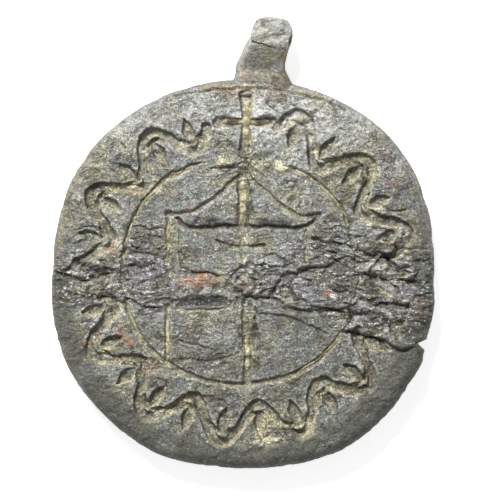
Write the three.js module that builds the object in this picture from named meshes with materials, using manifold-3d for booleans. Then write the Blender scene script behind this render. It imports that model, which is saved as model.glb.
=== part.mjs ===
// A medieval lead seal matrix. A hand-cast lead plate carries an engraved face. A loop for a cord, folded
// forwards from a short strip, stands on the plate's top edge. Earth is still packed in some of the grooves.
// Sizes are in millimetres. The plate lies on its back on z = 0 with its engraved face up and its loop
// towards +Y. The origin is under the middle of the plate.

import * as THREE from "three";
import { mergeVertices } from "three/addons/utils/BufferGeometryUtils.js";
import Module from "manifold-3d";

const wasm = await Module();
wasm.setup();

// The cast plate
const plateRadius = 18.4;
const plateThickness = 4.0;
const faceBevelWidth = 1.15;
const faceBevelDrop = 1.5;
const backBevelWidth = 0.55;
const backBevelRise = 0.7;
const outlineSteps = 120;
const faceBevelSteps = 3;
// How far the hand-cast edge strays from the plate's radius: degrees anticlockwise from +X, millimetres.
const outlineWaver = [
  [0, -0.58],
  [10, -0.38],
  [23, 0.1],
  [42, 0.55],
  [65, 0.35],
  [90, 0.15],
  [120, 0.25],
  [148, 0.25],
  [168, -0.25],
  [182, -0.3],
  [194, 0.0],
  [208, 0.2],
  [226, 0.07],
  [240, 0.15],
  [262, -0.4],
  [278, -0.35],
  [300, 0.25],
  [328, 0.08],
  [336.5, 0.03],
  [341, -0.28],
  [350, -0.36],
];

// The tear in the right-hand edge, where an old crack reaches the rim
const tearDepth = 0.75;
const tearMouth = 1.0;
const tearAngle = -20.6;
const tearLean = 13;

// The loop: a flared root on a flat landing, a neck, and a head folded forwards round an eye
const loopCentreX = 1.6;
const rootWidth = 7.0;
const rootThickness = 2.5;
const rootRise = 0.6;
const seatDepth = 0.95;
const seatClearance = 0.05;
const stripThickness = 1.2;
const neckRise = 0.9;
const neckWidth = 4.4;
const headWidth = 3.76;
const headLean = 1.05;
const eyeRadius = 0.7;
const eyeHeight = 5.05;
const tipThickness = 0.8;
const tipWidth = 3.5;
const tipAngle = 148;
const tipSlant = 0.9;
const flareShare = 0.37;
const flareCurve = 1.6;
const headShare = 0.86;
const leanFrom = 0.3;
const leanTo = 0.8;
const sectionSides = 16;
const neckSteps = 9;
const neckStepCurve = 1.4;
const bendSteps = 18;

// The engraving
const grooveDepth = 0.5;
const grooveMouth = 0.62;
const grooveFloor = 0.26;
const barMouth = 0.84;
const staffMouth = 1.05;
const channelMouth = 1.2;
const channelShift = 0.37;
const circleHalfWidth = 10.9;
const circleHalfHeight = 10.5;
const circleX = -0.42;
const circleY = 0.56;
const circleSquareness = 2.2;
const staffTop = 9.4;
const staffFoot = -9.1;
const staffNarrowing = 0.75;
const staffWidening = 1.25;
const gableTop = 9.7;
const eavesY = 5.85;
const beamY = 4.75;
const shortBarY = 2.8;
const lowerBarY = -2.0;
const leftPostX = -7.15;
const leftPostTop = 5.5;
const leftPostFoot = -7.6;
const rightPostX = 5.8;
const rightPostFoot = 1.3;
const crossX = 0.14;
const crossRise = 0.1;
const crossHeight = 5.1;
const crossSpan = 5.0;
const crossMouth = 0.95;
const crossFlare = 1.45;

// The border: a waving stem with a leaf in each bend, between the circle and the bevel
const borderX = -0.25;
const borderY = 0.3;
const borderWave = 1.95;
const borderWaves = 12;
const borderWander = 0.12;
const borderGap = 27;
const leafLength = 2.5;
const leafMouth = 1.0;
const leafClearance = 0.45;
const leafletLength = 1.45;
const leafletMouth = 0.72;
const leafletLean = 49;
const stemMouth = 0.9;

// The crushed band across the middle: cracks whose upper lips stand up, and a few low lumps
const lipWidth = 1.2;
const lipTopWidth = 0.5;
const lipDepth = 0.3;
const crackFloor = 0.08;
const cracks = [
  { path: [[10.2, 3.1], [11.8, 2.15], [13.1, 1.7], [14.4, 1.0], [15.7, 0.65]], mouth: 0.5, depth: 0.4, lip: 0.26 },
  { path: [[10.4, 0.4], [11.8, 0.0], [13.6, -0.2], [15.7, -0.55], [16.9, -0.5]], mouth: 0.5, depth: 0.36, lip: 0.24 },
  { path: [[11.7, -1.8], [12.5, -2.4], [14.4, -2.65], [16.4, -3.2]], mouth: 0.42, depth: 0.3, lip: 0.22 },
  { path: [[2.6, -2.5], [5.2, -3.1], [7.8, -3.1], [10.7, -3.5], [12.5, -3.85], [14.7, -4.8]], mouth: 0.44, depth: 0.32,
    lip: 0.24 },
  { path: [[8.4, -5.05], [11.1, -5.3], [13.1, -6.1], [14.5, -6.85], [15.9, -6.5]], mouth: 0.5, depth: 0.45,
    lip: 0.28 },
  { path: [[1.1, -1.85], [2.4, -1.75], [3.7, -0.2], [5.4, 0.65], [7.6, 0.95], [9.4, 1.8]], mouth: 0.46, depth: 0.34,
    lip: 0.24 },
  { path: [[-16.2, 1.15], [-14.9, 1.15], [-13.5, 0.95], [-12.2, 0.45]], mouth: 0.56, depth: 0.38, lip: 0.2 },
  { path: [[-10.9, 0.85], [-9.7, 1.15], [-8.1, 1.1]], mouth: 0.42, depth: 0.28, lip: 0.18 },
  { path: [[-15.2, -1.3], [-13.7, -2.05], [-12.5, -2.1]], mouth: 0.44, depth: 0.3, lip: 0.2 },
  { path: [[-6.3, 0.2], [-4.4, -0.55], [-2.6, -0.85], [-1.2, -1.3]], mouth: 0.42, depth: 0.28, lip: 0.22 },
];
const lumps = [
  { x: 0.3, y: 0.4, radius: 0.95, height: 0.26 },
  { x: 3.4, y: 10.2, radius: 0.6, height: 0.2 },
  { x: 15.8, y: -4.3, radius: 1.0, height: 0.24 },
  { x: 8.4, y: 3.1, radius: 1.1, height: 0.22 },
  { x: 6.9, y: -0.9, radius: 1.2, height: 0.22 },
  { x: -9.4, y: -1.3, radius: 1.1, height: 0.22 },
];
const lumpTopShare = 0.45;
const lumpSides = 12;

// The earth left in the grooves
const earthThickness = 0.24;
const earthClearance = 0.03;
const endClearance = 0.25;
const staffEarthFrom = -3.2;
const staffEarthTo = -8.9;
const staffTopStretch = [0.02, 0.19];
const staffFootStretch = [0.78, 0.98];
const postTopStretch = [0.06, 0.4];
const postFootStretch = [0.68, 0.98];
const circleLeftStretch = [112, 212];
const circleRightStretch = [-62, 66];

// How finely the curves are cut into straight steps
const circleSteps = 72;
const degreesPerStep = 4;
const stepsPerWave = 12;
const leafSteps = 4;
const strokeSteps = 12;
const shortStrokeSteps = 8;
const fillSteps = 8;

const radians = THREE.MathUtils.degToRad;
const smoothstep = THREE.MathUtils.smoothstep;
const lerp = THREE.MathUtils.lerp;
const point = (x, y) => new THREE.Vector2(x, y);

// A closed geometry as a solid that can be cut and joined.
function solidFrom(geometry) {
  const bare = geometry.clone();
  bare.deleteAttribute("normal");
  bare.deleteAttribute("uv");
  const merged = mergeVertices(bare, 1e-5);
  return new wasm.Manifold(
    new wasm.Mesh({
      numProp: 3,
      vertProperties: merged.attributes.position.array,
      triVerts: new Uint32Array(merged.index.array),
    }),
  );
}

function geometryFrom(solid) {
  const mesh = solid.getMesh();
  const geometry = new THREE.BufferGeometry();
  geometry.setAttribute("position", new THREE.BufferAttribute(mesh.vertProperties, 3));
  geometry.setIndex(new THREE.BufferAttribute(mesh.triVerts, 1));
  geometry.computeVertexNormals();
  return geometry;
}

// The solid whose skin runs through rings of points, each ring anticlockwise as seen from the last one.
// It ends in flat caps, or its last ring meets its first.
function loft(rings, closed = false) {
  const perRing = rings[0].length;
  const positions = rings.flat().flatMap((p) => [p.x, p.y, p.z]);
  const faces = [];
  const joins = closed ? rings.length : rings.length - 1;
  for (let r = 0; r < joins; r++) {
    const here = r * perRing;
    const next = ((r + 1) % rings.length) * perRing;
    for (let i = 0; i < perRing; i++) {
      const j = (i + 1) % perRing;
      faces.push(here + i, here + j, next + j, here + i, next + j, next + i);
    }
  }
  if (!closed) {
    for (const [ring, first] of [[rings[0], 0], [rings.at(-1), (rings.length - 1) * perRing]]) {
      const middle = positions.length / 3;
      const centre = ring.reduce((sum, p) => sum.add(p), new THREE.Vector3()).divideScalar(perRing);
      positions.push(centre.x, centre.y, centre.z);
      for (let i = 0; i < perRing; i++) {
        const j = (i + 1) % perRing;
        if (first === 0) faces.push(middle, j, i);
        else faces.push(middle, first + i, first + j);
      }
    }
  }
  const geometry = new THREE.BufferGeometry();
  geometry.setAttribute("position", new THREE.Float32BufferAttribute(positions, 3));
  geometry.setIndex(faces);
  return solidFrom(geometry);
}

// The plate's outline, and a ring of it drawn in by an inset and lifted to a height.
const outline = new THREE.CatmullRomCurve3(
  outlineWaver.map(([degrees, stray]) => {
    const radius = plateRadius + stray;
    return new THREE.Vector3(radius * Math.cos(radians(degrees)), radius * Math.sin(radians(degrees)), 0);
  }),
  true,
  "centripetal",
)
  .getPoints(outlineSteps)
  .slice(0, outlineSteps);

function outlineRing(inset, height) {
  return outline.map((p) => {
    const kept = 1 - inset / p.length();
    return new THREE.Vector3(p.x * kept, p.y * kept, height);
  });
}

function castPlate() {
  const rings = [outlineRing(backBevelWidth, 0), outlineRing(0, backBevelRise)];
  for (let i = 0; i <= faceBevelSteps; i++) {
    const turn = (Math.PI / 2) * (i / faceBevelSteps);
    const inset = faceBevelWidth * (1 - Math.cos(turn));
    const drop = faceBevelDrop * (1 - Math.sin(turn));
    rings.push(outlineRing(inset, plateThickness - drop));
  }
  return loft(rings);
}

// A wedge driven in through the rim, all through the plate.
function tearCutter() {
  const widening = tearMouth / (2 * tearDepth);
  const reach = tearDepth * 2;
  const wedge = new THREE.Shape([
    point(-tearDepth, 0),
    point(reach, -widening * (tearDepth + reach)),
    point(reach, widening * (tearDepth + reach)),
  ]);
  const geometry = new THREE.ExtrudeGeometry(wedge, { depth: plateThickness * 2, bevelEnabled: false });
  geometry.rotateZ(radians(tearAngle + tearLean));
  const atRim = outlineRadius(tearAngle);
  const x = atRim * Math.cos(radians(tearAngle));
  const y = atRim * Math.sin(radians(tearAngle));
  geometry.translate(x, y, -plateThickness / 2);
  return solidFrom(geometry);
}

function outlineRadius(degrees) {
  const towards = new THREE.Vector3(Math.cos(radians(degrees)), Math.sin(radians(degrees)), 0);
  const nearest = outline.reduce((best, p) => (p.angleTo(towards) < best.angleTo(towards) ? p : best));
  return nearest.length();
}

// The flat landing under the loop's root
const seatY = plateRadius - seatDepth;
const seatWidth = rootWidth + 2 * seatClearance;

function seatCutter() {
  const deep = seatDepth * 3;
  const block = new THREE.BoxGeometry(seatWidth, deep, plateThickness * 2);
  block.translate(loopCentreX, seatY + deep / 2, plateThickness / 2);
  return solidFrom(block);
}

// The strip of the loop, from its root up the neck and forwards round the eye
const eyeY = seatY + eyeHeight;
const eyeZ = neckRise + stripThickness + eyeRadius;
const bendRadius = eyeRadius + stripThickness / 2;
const loopHeight = eyeHeight + eyeRadius + stripThickness;
const stripLength = eyeHeight + bendRadius * radians(90 + tipAngle);

// How much of the root's flare is left at a distance along the strip, from 1 down to 0.
const rootFlare = (distance) => Math.max(0, 1 - distance / (flareShare * loopHeight)) ** flareCurve;

// A point at a distance along the strip and off its middle plane. Inwards, towards the eye, is positive.
function stripPoint(distance, x, inwards) {
  const flare = rootFlare(distance);
  const neckZ = neckRise + stripThickness / 2;
  const rootZ = rootRise + rootThickness / 2;
  if (distance <= eyeHeight) {
    return new THREE.Vector3(x, seatY + distance, neckZ + (rootZ - neckZ) * flare + inwards);
  }
  const angle = (distance - eyeHeight) / bendRadius - Math.PI / 2;
  const radius = bendRadius - inwards;
  return new THREE.Vector3(x, eyeY + radius * Math.cos(angle), eyeZ + radius * Math.sin(angle));
}

function stripRing(distance) {
  const height = (stripPoint(distance, 0, 0).y - seatY) / loopHeight;
  const flare = rootFlare(distance);
  const towardsHead = THREE.MathUtils.clamp((height - flareShare) / (headShare - flareShare), 0, 1);
  const crown = eyeHeight + bendRadius * radians(90);
  const towardsTip = smoothstep(distance, crown, stripLength);
  const shaft = lerp(neckWidth, headWidth, distance > crown ? 1 : towardsHead) + (rootWidth - neckWidth) * flare;
  const width = lerp(shaft, tipWidth, towardsTip);
  const thickness = lerp(lerp(stripThickness, rootThickness, flare), tipThickness, towardsTip);
  const centreX = loopCentreX + headLean * smoothstep(height, leanFrom, leanTo);
  const slant = tipSlant * Math.max(0, (distance - eyeHeight) / (stripLength - eyeHeight)) ** 2;
  return Array.from({ length: sectionSides }, (_, i) => {
    const turn = (2 * Math.PI * i) / sectionSides;
    const across = Math.sign(Math.cos(turn)) * Math.sqrt(Math.abs(Math.cos(turn)));
    const through = Math.sign(Math.sin(turn)) * Math.sqrt(Math.abs(Math.sin(turn)));
    return stripPoint(distance - (slant / 2) * across, centreX - (width / 2) * across, (thickness / 2) * through);
  });
}

function suspensionLoop() {
  const rings = [];
  for (let i = 0; i < neckSteps; i++) rings.push(stripRing(eyeHeight * (i / neckSteps) ** neckStepCurve));
  for (let i = 0; i <= bendSteps; i++) {
    rings.push(stripRing(lerp(eyeHeight, stripLength, i / bendSteps)));
  }
  return loft(rings);
}

// A body of four-sided section that follows a path in the plane of the face. Its width may change along
// the path, by a share of the section's width.
function strokeBody(path, section, { closed = false, share = () => 1 } = {}) {
  const count = path.length;
  const rings = path.map((p, i) => {
    const before = path[closed ? (i + count - 1) % count : Math.max(i - 1, 0)];
    const after = path[closed ? (i + 1) % count : Math.min(i + 1, count - 1)];
    const along = new THREE.Vector2().subVectors(after, before).normalize();
    const side = new THREE.Vector2(-along.y, along.x);
    const widening = share(i / (count - 1));
    const corner = (half, height) =>
      new THREE.Vector3(p.x + side.x * half * widening, p.y + side.y * half * widening, height);
    return [
      corner(-section.halfTop, section.top),
      corner(-section.halfBottom, section.bottom),
      corner(section.halfBottom, section.bottom),
      corner(section.halfTop, section.top),
    ];
  });
  return loft(rings, closed);
}

// The section of a groove, carried on past the face so that it cuts clear.
function cutSection(mouth) {
  const slope = (mouth - grooveFloor) / (2 * grooveDepth);
  return {
    halfTop: grooveFloor / 2 + slope * grooveDepth * 2,
    halfBottom: grooveFloor / 2,
    top: plateThickness + grooveDepth,
    bottom: plateThickness - grooveDepth,
  };
}

// The section of the earth, which lies on the groove's floor clear of its walls.
function earthSection(mouth) {
  const slope = (mouth - grooveFloor) / (2 * grooveDepth);
  return {
    halfTop: grooveFloor / 2 + slope * earthThickness - earthClearance,
    halfBottom: grooveFloor / 2 - earthClearance,
    top: plateThickness - grooveDepth + earthThickness,
    bottom: plateThickness - grooveDepth,
  };
}

const curveThrough = (points, steps) => new THREE.SplineCurve(points).getPoints(steps);

// The hand-drawn circle round the device, a little squarer than a true one.
function circlePoint(degrees) {
  const c = Math.cos(radians(degrees));
  const s = Math.sin(radians(degrees));
  const power = 2 / circleSquareness;
  return point(
    circleX + circleHalfWidth * Math.sign(c) * Math.abs(c) ** power,
    circleY + circleHalfHeight * Math.sign(s) * Math.abs(s) ** power,
  );
}

function circlePath(from, to, steps) {
  return Array.from({ length: steps + 1 }, (_, i) => circlePoint(from + ((to - from) * i) / steps));
}

// The border's stem waves between the circle and the bevel, and leaves room for the cross.
const borderRadius = (circleHalfWidth + plateRadius - faceBevelWidth) / 2;
const stemStart = 90 - borderGap / 2;
const stemSpan = 360 - borderGap;

function borderPoint(degrees, radius) {
  const wander = borderWander * (Math.sin(radians(degrees * 5)) + Math.sin(radians(degrees * 13 + 40)));
  const angle = radians(degrees);
  return point(borderX + (radius + wander) * Math.cos(angle), borderY + (radius + wander) * Math.sin(angle));
}

function stemPath() {
  const path = [];
  for (let i = 0; i <= borderWaves * stepsPerWave; i++) {
    const waves = i / stepsPerWave;
    const degrees = stemStart - (stemSpan * waves) / borderWaves;
    path.push(borderPoint(degrees, borderRadius + borderWave * Math.sin(2 * Math.PI * waves)));
  }
  return path;
}

// A leaf in each bend of the stem, with a leaflet leaning out to each side of it.
function leafCutters() {
  const bends = borderWaves * 2;
  const swelling = (t) => 0.25 + 0.75 * Math.sin(Math.PI * t);
  const cutters = [];
  for (let k = 0; k < bends; k++) {
    const degrees = stemStart - (stemSpan * (k + 0.5)) / bends;
    const inwards = k % 2 === 0 ? -1 : 1;
    const foot = borderPoint(degrees, borderRadius - inwards * (borderWave - stemMouth / 2 - leafClearance));
    const out = point(Math.cos(radians(degrees)), Math.sin(radians(degrees))).multiplyScalar(inwards);
    for (const side of [-1, 0, 1]) {
      const towards = out.clone().rotateAround(point(0, 0), radians(side * leafletLean));
      const length = side === 0 ? leafLength : leafletLength;
      const path = Array.from({ length: leafSteps + 1 }, (_, i) =>
        foot.clone().addScaledVector(towards, (length * i) / leafSteps),
      );
      cutters.push(strokeBody(path, cutSection(side === 0 ? leafMouth : leafletMouth), { share: swelling }));
    }
  }
  return cutters;
}

// The device: a staff under a gable and a beam, with two posts, a short bar and two lower bars.
const staffBend = 0.28;
const staffPoints = [
  point(-0.12, staffTop),
  point(-0.1, beamY),
  point(0.05, 0.5),
  point(staffBend, staffEarthFrom),
  point(staffBend, (staffEarthFrom + staffEarthTo) / 2),
  point(0.2, staffFoot),
];
const gableLeft = [
  point(-0.1, gableTop),
  point(-1.45, gableTop - 1.15),
  point(-3.0, eavesY + 1.4),
  point(-4.7, eavesY + 0.35),
  point(leftPostX, eavesY),
];
const gableRight = [
  point(-0.05, gableTop),
  point(1.05, gableTop - 0.95),
  point(2.6, eavesY + 1.5),
  point(3.9, eavesY + 0.55),
  point(5.2, eavesY - 0.1),
  point(rightPostX + 1.1, eavesY),
];
const beamPoints = [
  point(leftPostX + 0.9, beamY + 0.6),
  point(leftPostX + 1.5, beamY - 0.15),
  point(-0.9, beamY),
  point(3.3, beamY - 0.05),
  point(rightPostX, beamY + 0.1),
  point(rightPostX + 0.9, beamY + 0.8),
];
const shortBarPoints = [
  point(-2.5, shortBarY + 0.6),
  point(-1.7, shortBarY + 0.15),
  point(-0.6, shortBarY - 0.05),
  point(1.0, shortBarY + 0.05),
  point(1.95, shortBarY + 0.25),
];
const lowerLeftPoints = [
  point(leftPostX + 0.7, lowerBarY - 0.6),
  point(-5.4, lowerBarY - 0.1),
  point(-4.2, lowerBarY + 0.1),
  point(-2.8, lowerBarY),
  point(-1.4, lowerBarY - 0.4),
];
const lowerRightPoints = [
  point(-0.6, lowerBarY),
  point(0.8, lowerBarY - 0.1),
  point(2.4, lowerBarY),
  point(rightPostX - 1.8, lowerBarY - 0.5),
  point(rightPostX + 0.4, lowerBarY - 1.0),
];
const tapering = (t) => 0.55 + 0.45 * Math.sin(Math.PI * t);
const staffShare = (t) =>
  lerp(1, staffNarrowing, smoothstep(t, 0.3, 0.4)) +
  (staffWidening - staffNarrowing) * smoothstep(t, 0.62, 0.7) * (1 - smoothstep(t, 0.84, 0.9));
const leftPost = [point(leftPostX, leftPostTop), point(leftPostX, leftPostFoot)];
const leftChannel = [
  point(leftPostX + channelShift, leftPostTop - 0.1),
  point(leftPostX + channelShift, (leftPostTop + rightPostFoot) / 2),
  point(leftPostX + channelShift, rightPostFoot - 0.9),
];
const rightPost = [point(rightPostX, beamY), point(rightPostX, rightPostFoot)];

function deviceCutters() {
  const fine = cutSection(grooveMouth);
  const bold = cutSection(barMouth);
  return [
    strokeBody(curveThrough(staffPoints, strokeSteps * 2), cutSection(staffMouth), { share: staffShare }),
    strokeBody(curveThrough(gableLeft, strokeSteps), fine),
    strokeBody(curveThrough(gableRight, strokeSteps), fine),
    strokeBody(curveThrough(beamPoints, strokeSteps), bold),
    strokeBody(curveThrough(shortBarPoints, shortStrokeSteps), fine, { share: tapering }),
    strokeBody(curveThrough(lowerLeftPoints, shortStrokeSteps), bold, { share: tapering }),
    strokeBody(curveThrough(lowerRightPoints, shortStrokeSteps), fine, { share: tapering }),
    strokeBody(leftPost, fine),
    strokeBody(leftChannel, cutSection(channelMouth)),
    strokeBody(rightPost, fine),
  ];
}

// The cross at the head of the border. Its bars flare towards their ends.
const crossY = borderY + borderRadius + crossRise;
const flaring = (t) => 1 + (crossFlare - 1) * Math.abs(2 * t - 1) ** 3;

function crossBar(section, half, upright) {
  const ends = [-half, 0, half].map((d) => (upright ? point(crossX, crossY - d) : point(crossX + d, crossY)));
  return strokeBody(curveThrough(ends, shortStrokeSteps), section, { share: flaring });
}

function crossCutters() {
  const section = cutSection(crossMouth);
  return [crossBar(section, crossHeight / 2, true), crossBar(section, crossSpan / 2, false)];
}

// The cracks of the crushed band. Each has a lip beside it, on the left of its path.
const crackPath = (crack) => curveThrough(crack.path.map(([x, y]) => point(x, y)), shortStrokeSteps);

function crackCutter(crack) {
  const slope = (crack.mouth - crackFloor) / (2 * crack.depth);
  const section = {
    halfTop: crackFloor / 2 + slope * crack.depth * 2,
    halfBottom: crackFloor / 2,
    top: plateThickness + crack.depth,
    bottom: plateThickness - crack.depth,
  };
  return strokeBody(crackPath(crack), section, { share: tapering });
}

function crackLip(crack) {
  const path = crackPath(crack);
  const beside = path.map((p, i) => {
    const before = path[Math.max(i - 1, 0)];
    const after = path[Math.min(i + 1, path.length - 1)];
    const along = new THREE.Vector2().subVectors(after, before).normalize();
    return p.clone().add(point(-along.y, along.x).multiplyScalar(lipWidth / 2));
  });
  const section = {
    halfTop: lipTopWidth / 2,
    halfBottom: lipWidth / 2,
    top: plateThickness + crack.lip,
    bottom: plateThickness - lipDepth,
  };
  return strokeBody(beside, section, { share: tapering });
}

function lump({ x, y, radius, height }) {
  const geometry = new THREE.CylinderGeometry(radius * lumpTopShare, radius, height + lipDepth, lumpSides);
  geometry.rotateX(Math.PI / 2);
  geometry.translate(x, y, plateThickness + (height - lipDepth) / 2);
  return solidFrom(geometry);
}

function crushedSkin() {
  return wasm.Manifold.union([...cracks.map(crackLip), ...lumps.map(lump)]);
}

function engravingCutter() {
  const ring = circlePath(0, 360, circleSteps).slice(0, -1);
  return wasm.Manifold.union([
    strokeBody(ring, cutSection(grooveMouth), { closed: true }),
    strokeBody(stemPath(), cutSection(stemMouth)),
    ...crossCutters(),
    ...deviceCutters(),
    ...leafCutters(),
    ...cracks.map(crackCutter),
  ]);
}

function sealPlate() {
  return castPlate().add(crushedSkin()).subtract(seatCutter()).subtract(tearCutter()).subtract(engravingCutter());
}

// The earth. Each piece lies on the floor of its groove.
function earthInCross() {
  const section = earthSection(crossMouth);
  const upright = crossBar(section, crossHeight / 2 - endClearance, true);
  return upright.add(crossBar(section, crossSpan / 2 - endClearance, false));
}

function earthAlong(points, mouth, [from, to], grooveShare = () => 1) {
  const whole = new THREE.SplineCurve(points);
  const path = Array.from({ length: fillSteps + 1 }, (_, i) => whole.getPoint(lerp(from, to, i / fillSteps)));
  return strokeBody(path, earthSection(mouth), { share: (t) => grooveShare(lerp(from, to, t)) });
}

function earthInCircle([from, to]) {
  const steps = Math.round((to - from) / degreesPerStep);
  return strokeBody(circlePath(from, to, steps), earthSection(grooveMouth));
}

const lead = new THREE.MeshStandardMaterial({ color: 0x6f7069, roughness: 0.62, metalness: 0.35 });
const wornLead = new THREE.MeshStandardMaterial({ color: 0x8b8b85, roughness: 0.55, metalness: 0.35 });
const earth = new THREE.MeshStandardMaterial({ color: 0xb09a68, roughness: 0.95, metalness: 0 });

const seal = new THREE.Group();

function addPiece(name, solid, material) {
  const mesh = new THREE.Mesh(geometryFrom(solid), material);
  mesh.name = name;
  seal.add(mesh);
}

addPiece("seal_plate", sealPlate(), lead);
addPiece("suspension_loop", suspensionLoop(), wornLead);
addPiece("earth_in_cross", earthInCross(), earth);
addPiece("earth_in_staff_top", earthAlong(staffPoints, staffMouth, staffTopStretch, staffShare), earth);
addPiece("earth_in_staff_foot", earthAlong(staffPoints, staffMouth, staffFootStretch, staffShare), earth);
addPiece("earth_in_left_post_top", earthAlong(leftPost, grooveMouth, postTopStretch), earth);
addPiece("earth_in_left_post_foot", earthAlong(leftPost, grooveMouth, postFootStretch), earth);
addPiece("earth_in_circle_left", earthInCircle(circleLeftStretch), earth);
addPiece("earth_in_circle_right", earthInCircle(circleRightStretch), earth);

export default seal;
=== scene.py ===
"""An old lead seal matrix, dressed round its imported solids.

The seal lies on its back with its engraved face up. The plate, the folded loop and the earth left in the
grooves are modelled here in millimetres and written to their meshes in metres.
"""

import math
from collections import namedtuple

import bpy
import numpy as np
from bpy.props import FloatProperty, FloatVectorProperty, IntProperty, PointerProperty
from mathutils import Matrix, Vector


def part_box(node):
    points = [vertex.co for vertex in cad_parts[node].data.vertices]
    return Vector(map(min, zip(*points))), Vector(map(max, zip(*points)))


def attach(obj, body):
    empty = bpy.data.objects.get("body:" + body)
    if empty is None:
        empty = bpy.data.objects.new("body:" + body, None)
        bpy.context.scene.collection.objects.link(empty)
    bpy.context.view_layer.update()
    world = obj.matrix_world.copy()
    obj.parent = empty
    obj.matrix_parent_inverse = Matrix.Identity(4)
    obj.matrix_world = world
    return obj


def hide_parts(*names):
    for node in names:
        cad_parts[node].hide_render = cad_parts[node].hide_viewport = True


bl_info = {
    "name": "Lead Seal Matrix",
    "version": (1, 0, 0),
    "blender": (4, 5, 0),
    "location": "View3D > Sidebar > Lead Seal",
    "description": "Models an old lead seal matrix, with its engraved face, folded loop and packed earth",
    "category": "Add Mesh",
}

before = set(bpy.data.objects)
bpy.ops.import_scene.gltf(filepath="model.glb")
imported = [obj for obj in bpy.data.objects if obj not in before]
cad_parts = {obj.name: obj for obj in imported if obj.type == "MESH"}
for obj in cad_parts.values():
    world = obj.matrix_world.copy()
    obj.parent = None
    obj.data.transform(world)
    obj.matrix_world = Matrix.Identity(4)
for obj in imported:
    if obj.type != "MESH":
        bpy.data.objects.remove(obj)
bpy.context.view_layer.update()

MM = 0.001
BODY = "root"
TURN = 2 * math.pi

# Where the loop's foot meets the plate's edge
SEAT_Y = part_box("suspension_loop")[0].y / MM
PLATE_THICKNESS = 4.0

# The plate's edge: degrees anticlockwise from +X, and how far the edge strays from the plate's radius.
EDGE_WAVER = (
    (0, -0.58), (10, -0.38), (23, 0.1), (42, 0.55), (65, 0.35), (90, 0.15), (120, 0.25), (148, 0.25),
    (168, -0.25), (182, -0.3), (194, 0.0), (208, 0.2), (226, 0.07), (240, 0.15), (262, -0.4), (278, -0.35),
    (300, 0.25), (328, 0.08), (336.5, 0.03), (341, -0.28), (350, -0.36),
)

# How deep the edge is chipped, and what turns an angle into a length along it
EDGE_CHIPS = 0.12
EDGE_ARC = 18

# The notch torn in the edge: the angle it lies at, its depth, and its reach above and below that angle
TEAR_ANGLE = -21.0
TEAR_DEPTH = 0.82
TEAR_ABOVE = 0.66
TEAR_BELOW = 0.34

# The bevels of the face and the back, and the shares of the side that are straight and tucked under
BEVEL_WIDTH = 1.15
BEVEL_DROP = 1.5
BACK_BEVEL_WIDTH = 0.55
BACK_BEVEL_RISE = 0.7
STRAIGHT_SHARE = 0.7
TUCKED_SHARE = 0.3

# The mesh: its rows down the side and over the back, how far each row over the back steps in, as a share of
# the radius, and the number of triangles that the plate is thinned to
SIDE_ROWS = 12
BACK_ROWS = 2
BACK_STEP = 0.35
PLATE_TRIANGLES = 194000

# The relief of the plate: how high it may stand, how rough the side is, the height up to which the skin may
# only sink, and the heights between which the side's roughness gives way to the engraved face
MAX_RISE = 0.25
SIDE_ROUGHNESS = 0.07
SINKS_BELOW = PLATE_THICKNESS - 0.6
FACE_FROM, FACE_FULL = 1.2, 3.2

# How many cells to each side a hollow is measured against, in two rounds. Then how the face darkens down and
# to the right, away from the key lamp: from which height to which, and how far the rows of shade are tilted
HOLLOW_REACHES = (4, 3)
SHADE_FROM, SHADE_FULL = 4.0, -11.0
SHADE_TILT = 0.45

# The circle round the device
CIRCLE_CENTRE = (-0.42, 0.56)
CIRCLE_HALF_WIDTH = 10.9
CIRCLE_HALF_HEIGHT = 10.5
CIRCLE_SQUARENESS = 2.2

# The border of a waving stem and its leaves
BORDER_CENTRE = (-0.25, 0.3)
BORDER_RADIUS = 14.07
BORDER_WAVE = 1.95
BORDER_WAVES = 12
BORDER_WANDER = 0.12
BORDER_GAP = 27
STEM_START = 90 - BORDER_GAP / 2
STEM_SPAN = 360 - BORDER_GAP
STEM_STEPS = 16

# A leaf and its two leaflets: how each leans from the leaf's line, in radians, its length and its width.
# Then how far short of the wave's top the leaf has its foot, and how far a leaflet is bowed
LEAVES = ((0.0, 2.5, 1.26), (-0.85, 1.4, 0.68), (0.85, 1.4, 0.68))
LEAF_INSET = 0.78
LEAFLET_BOW = 0.25


def smooth(low, high, value):
    """0 below low and 1 above high, with a soft turn at each end."""
    share = np.clip((value - low) / (high - low), 0, 1)
    return share * share * (3 - 2 * share)


def lumps(x, y, grain, seed):
    """Smooth random hills and hollows, about -1 to 1. grain is their size, or their sizes along x and y."""
    grain_x, grain_y = np.broadcast_to(grain, 2)
    draw = np.random.default_rng(seed)
    turn = draw.uniform(0, TURN) if grain_x == grain_y else 0.0
    u = (x * math.cos(turn) - y * math.sin(turn)) / grain_x + draw.uniform(0, 50)
    v = (x * math.sin(turn) + y * math.cos(turn)) / grain_y + draw.uniform(0, 50)
    tile = 61
    slopes = draw.uniform(0, TURN, (tile, tile))
    i, j = np.floor(u).astype(int), np.floor(v).astype(int)
    du, dv = u - i, v - j

    def pull(a, b):
        angle = slopes[(i + a) % tile, (j + b) % tile]
        return np.cos(angle) * (du - a) + np.sin(angle) * (dv - b)

    su = du * du * du * (du * (du * 6 - 15) + 10)
    sv = dv * dv * dv * (dv * (dv * 6 - 15) + 10)
    low = pull(0, 0) * (1 - su) + pull(1, 0) * su
    high = pull(0, 1) * (1 - su) + pull(1, 1) * su
    return 1.5 * (low * (1 - sv) + high * sv)


def rubble(x, y, grain, seed, layers=4, fade=0.5):
    """Hills with smaller hills on them."""
    grain = np.asarray(grain, float)
    return sum(fade**k * lumps(x, y, grain / 2**k, seed + k) for k in range(layers))


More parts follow.
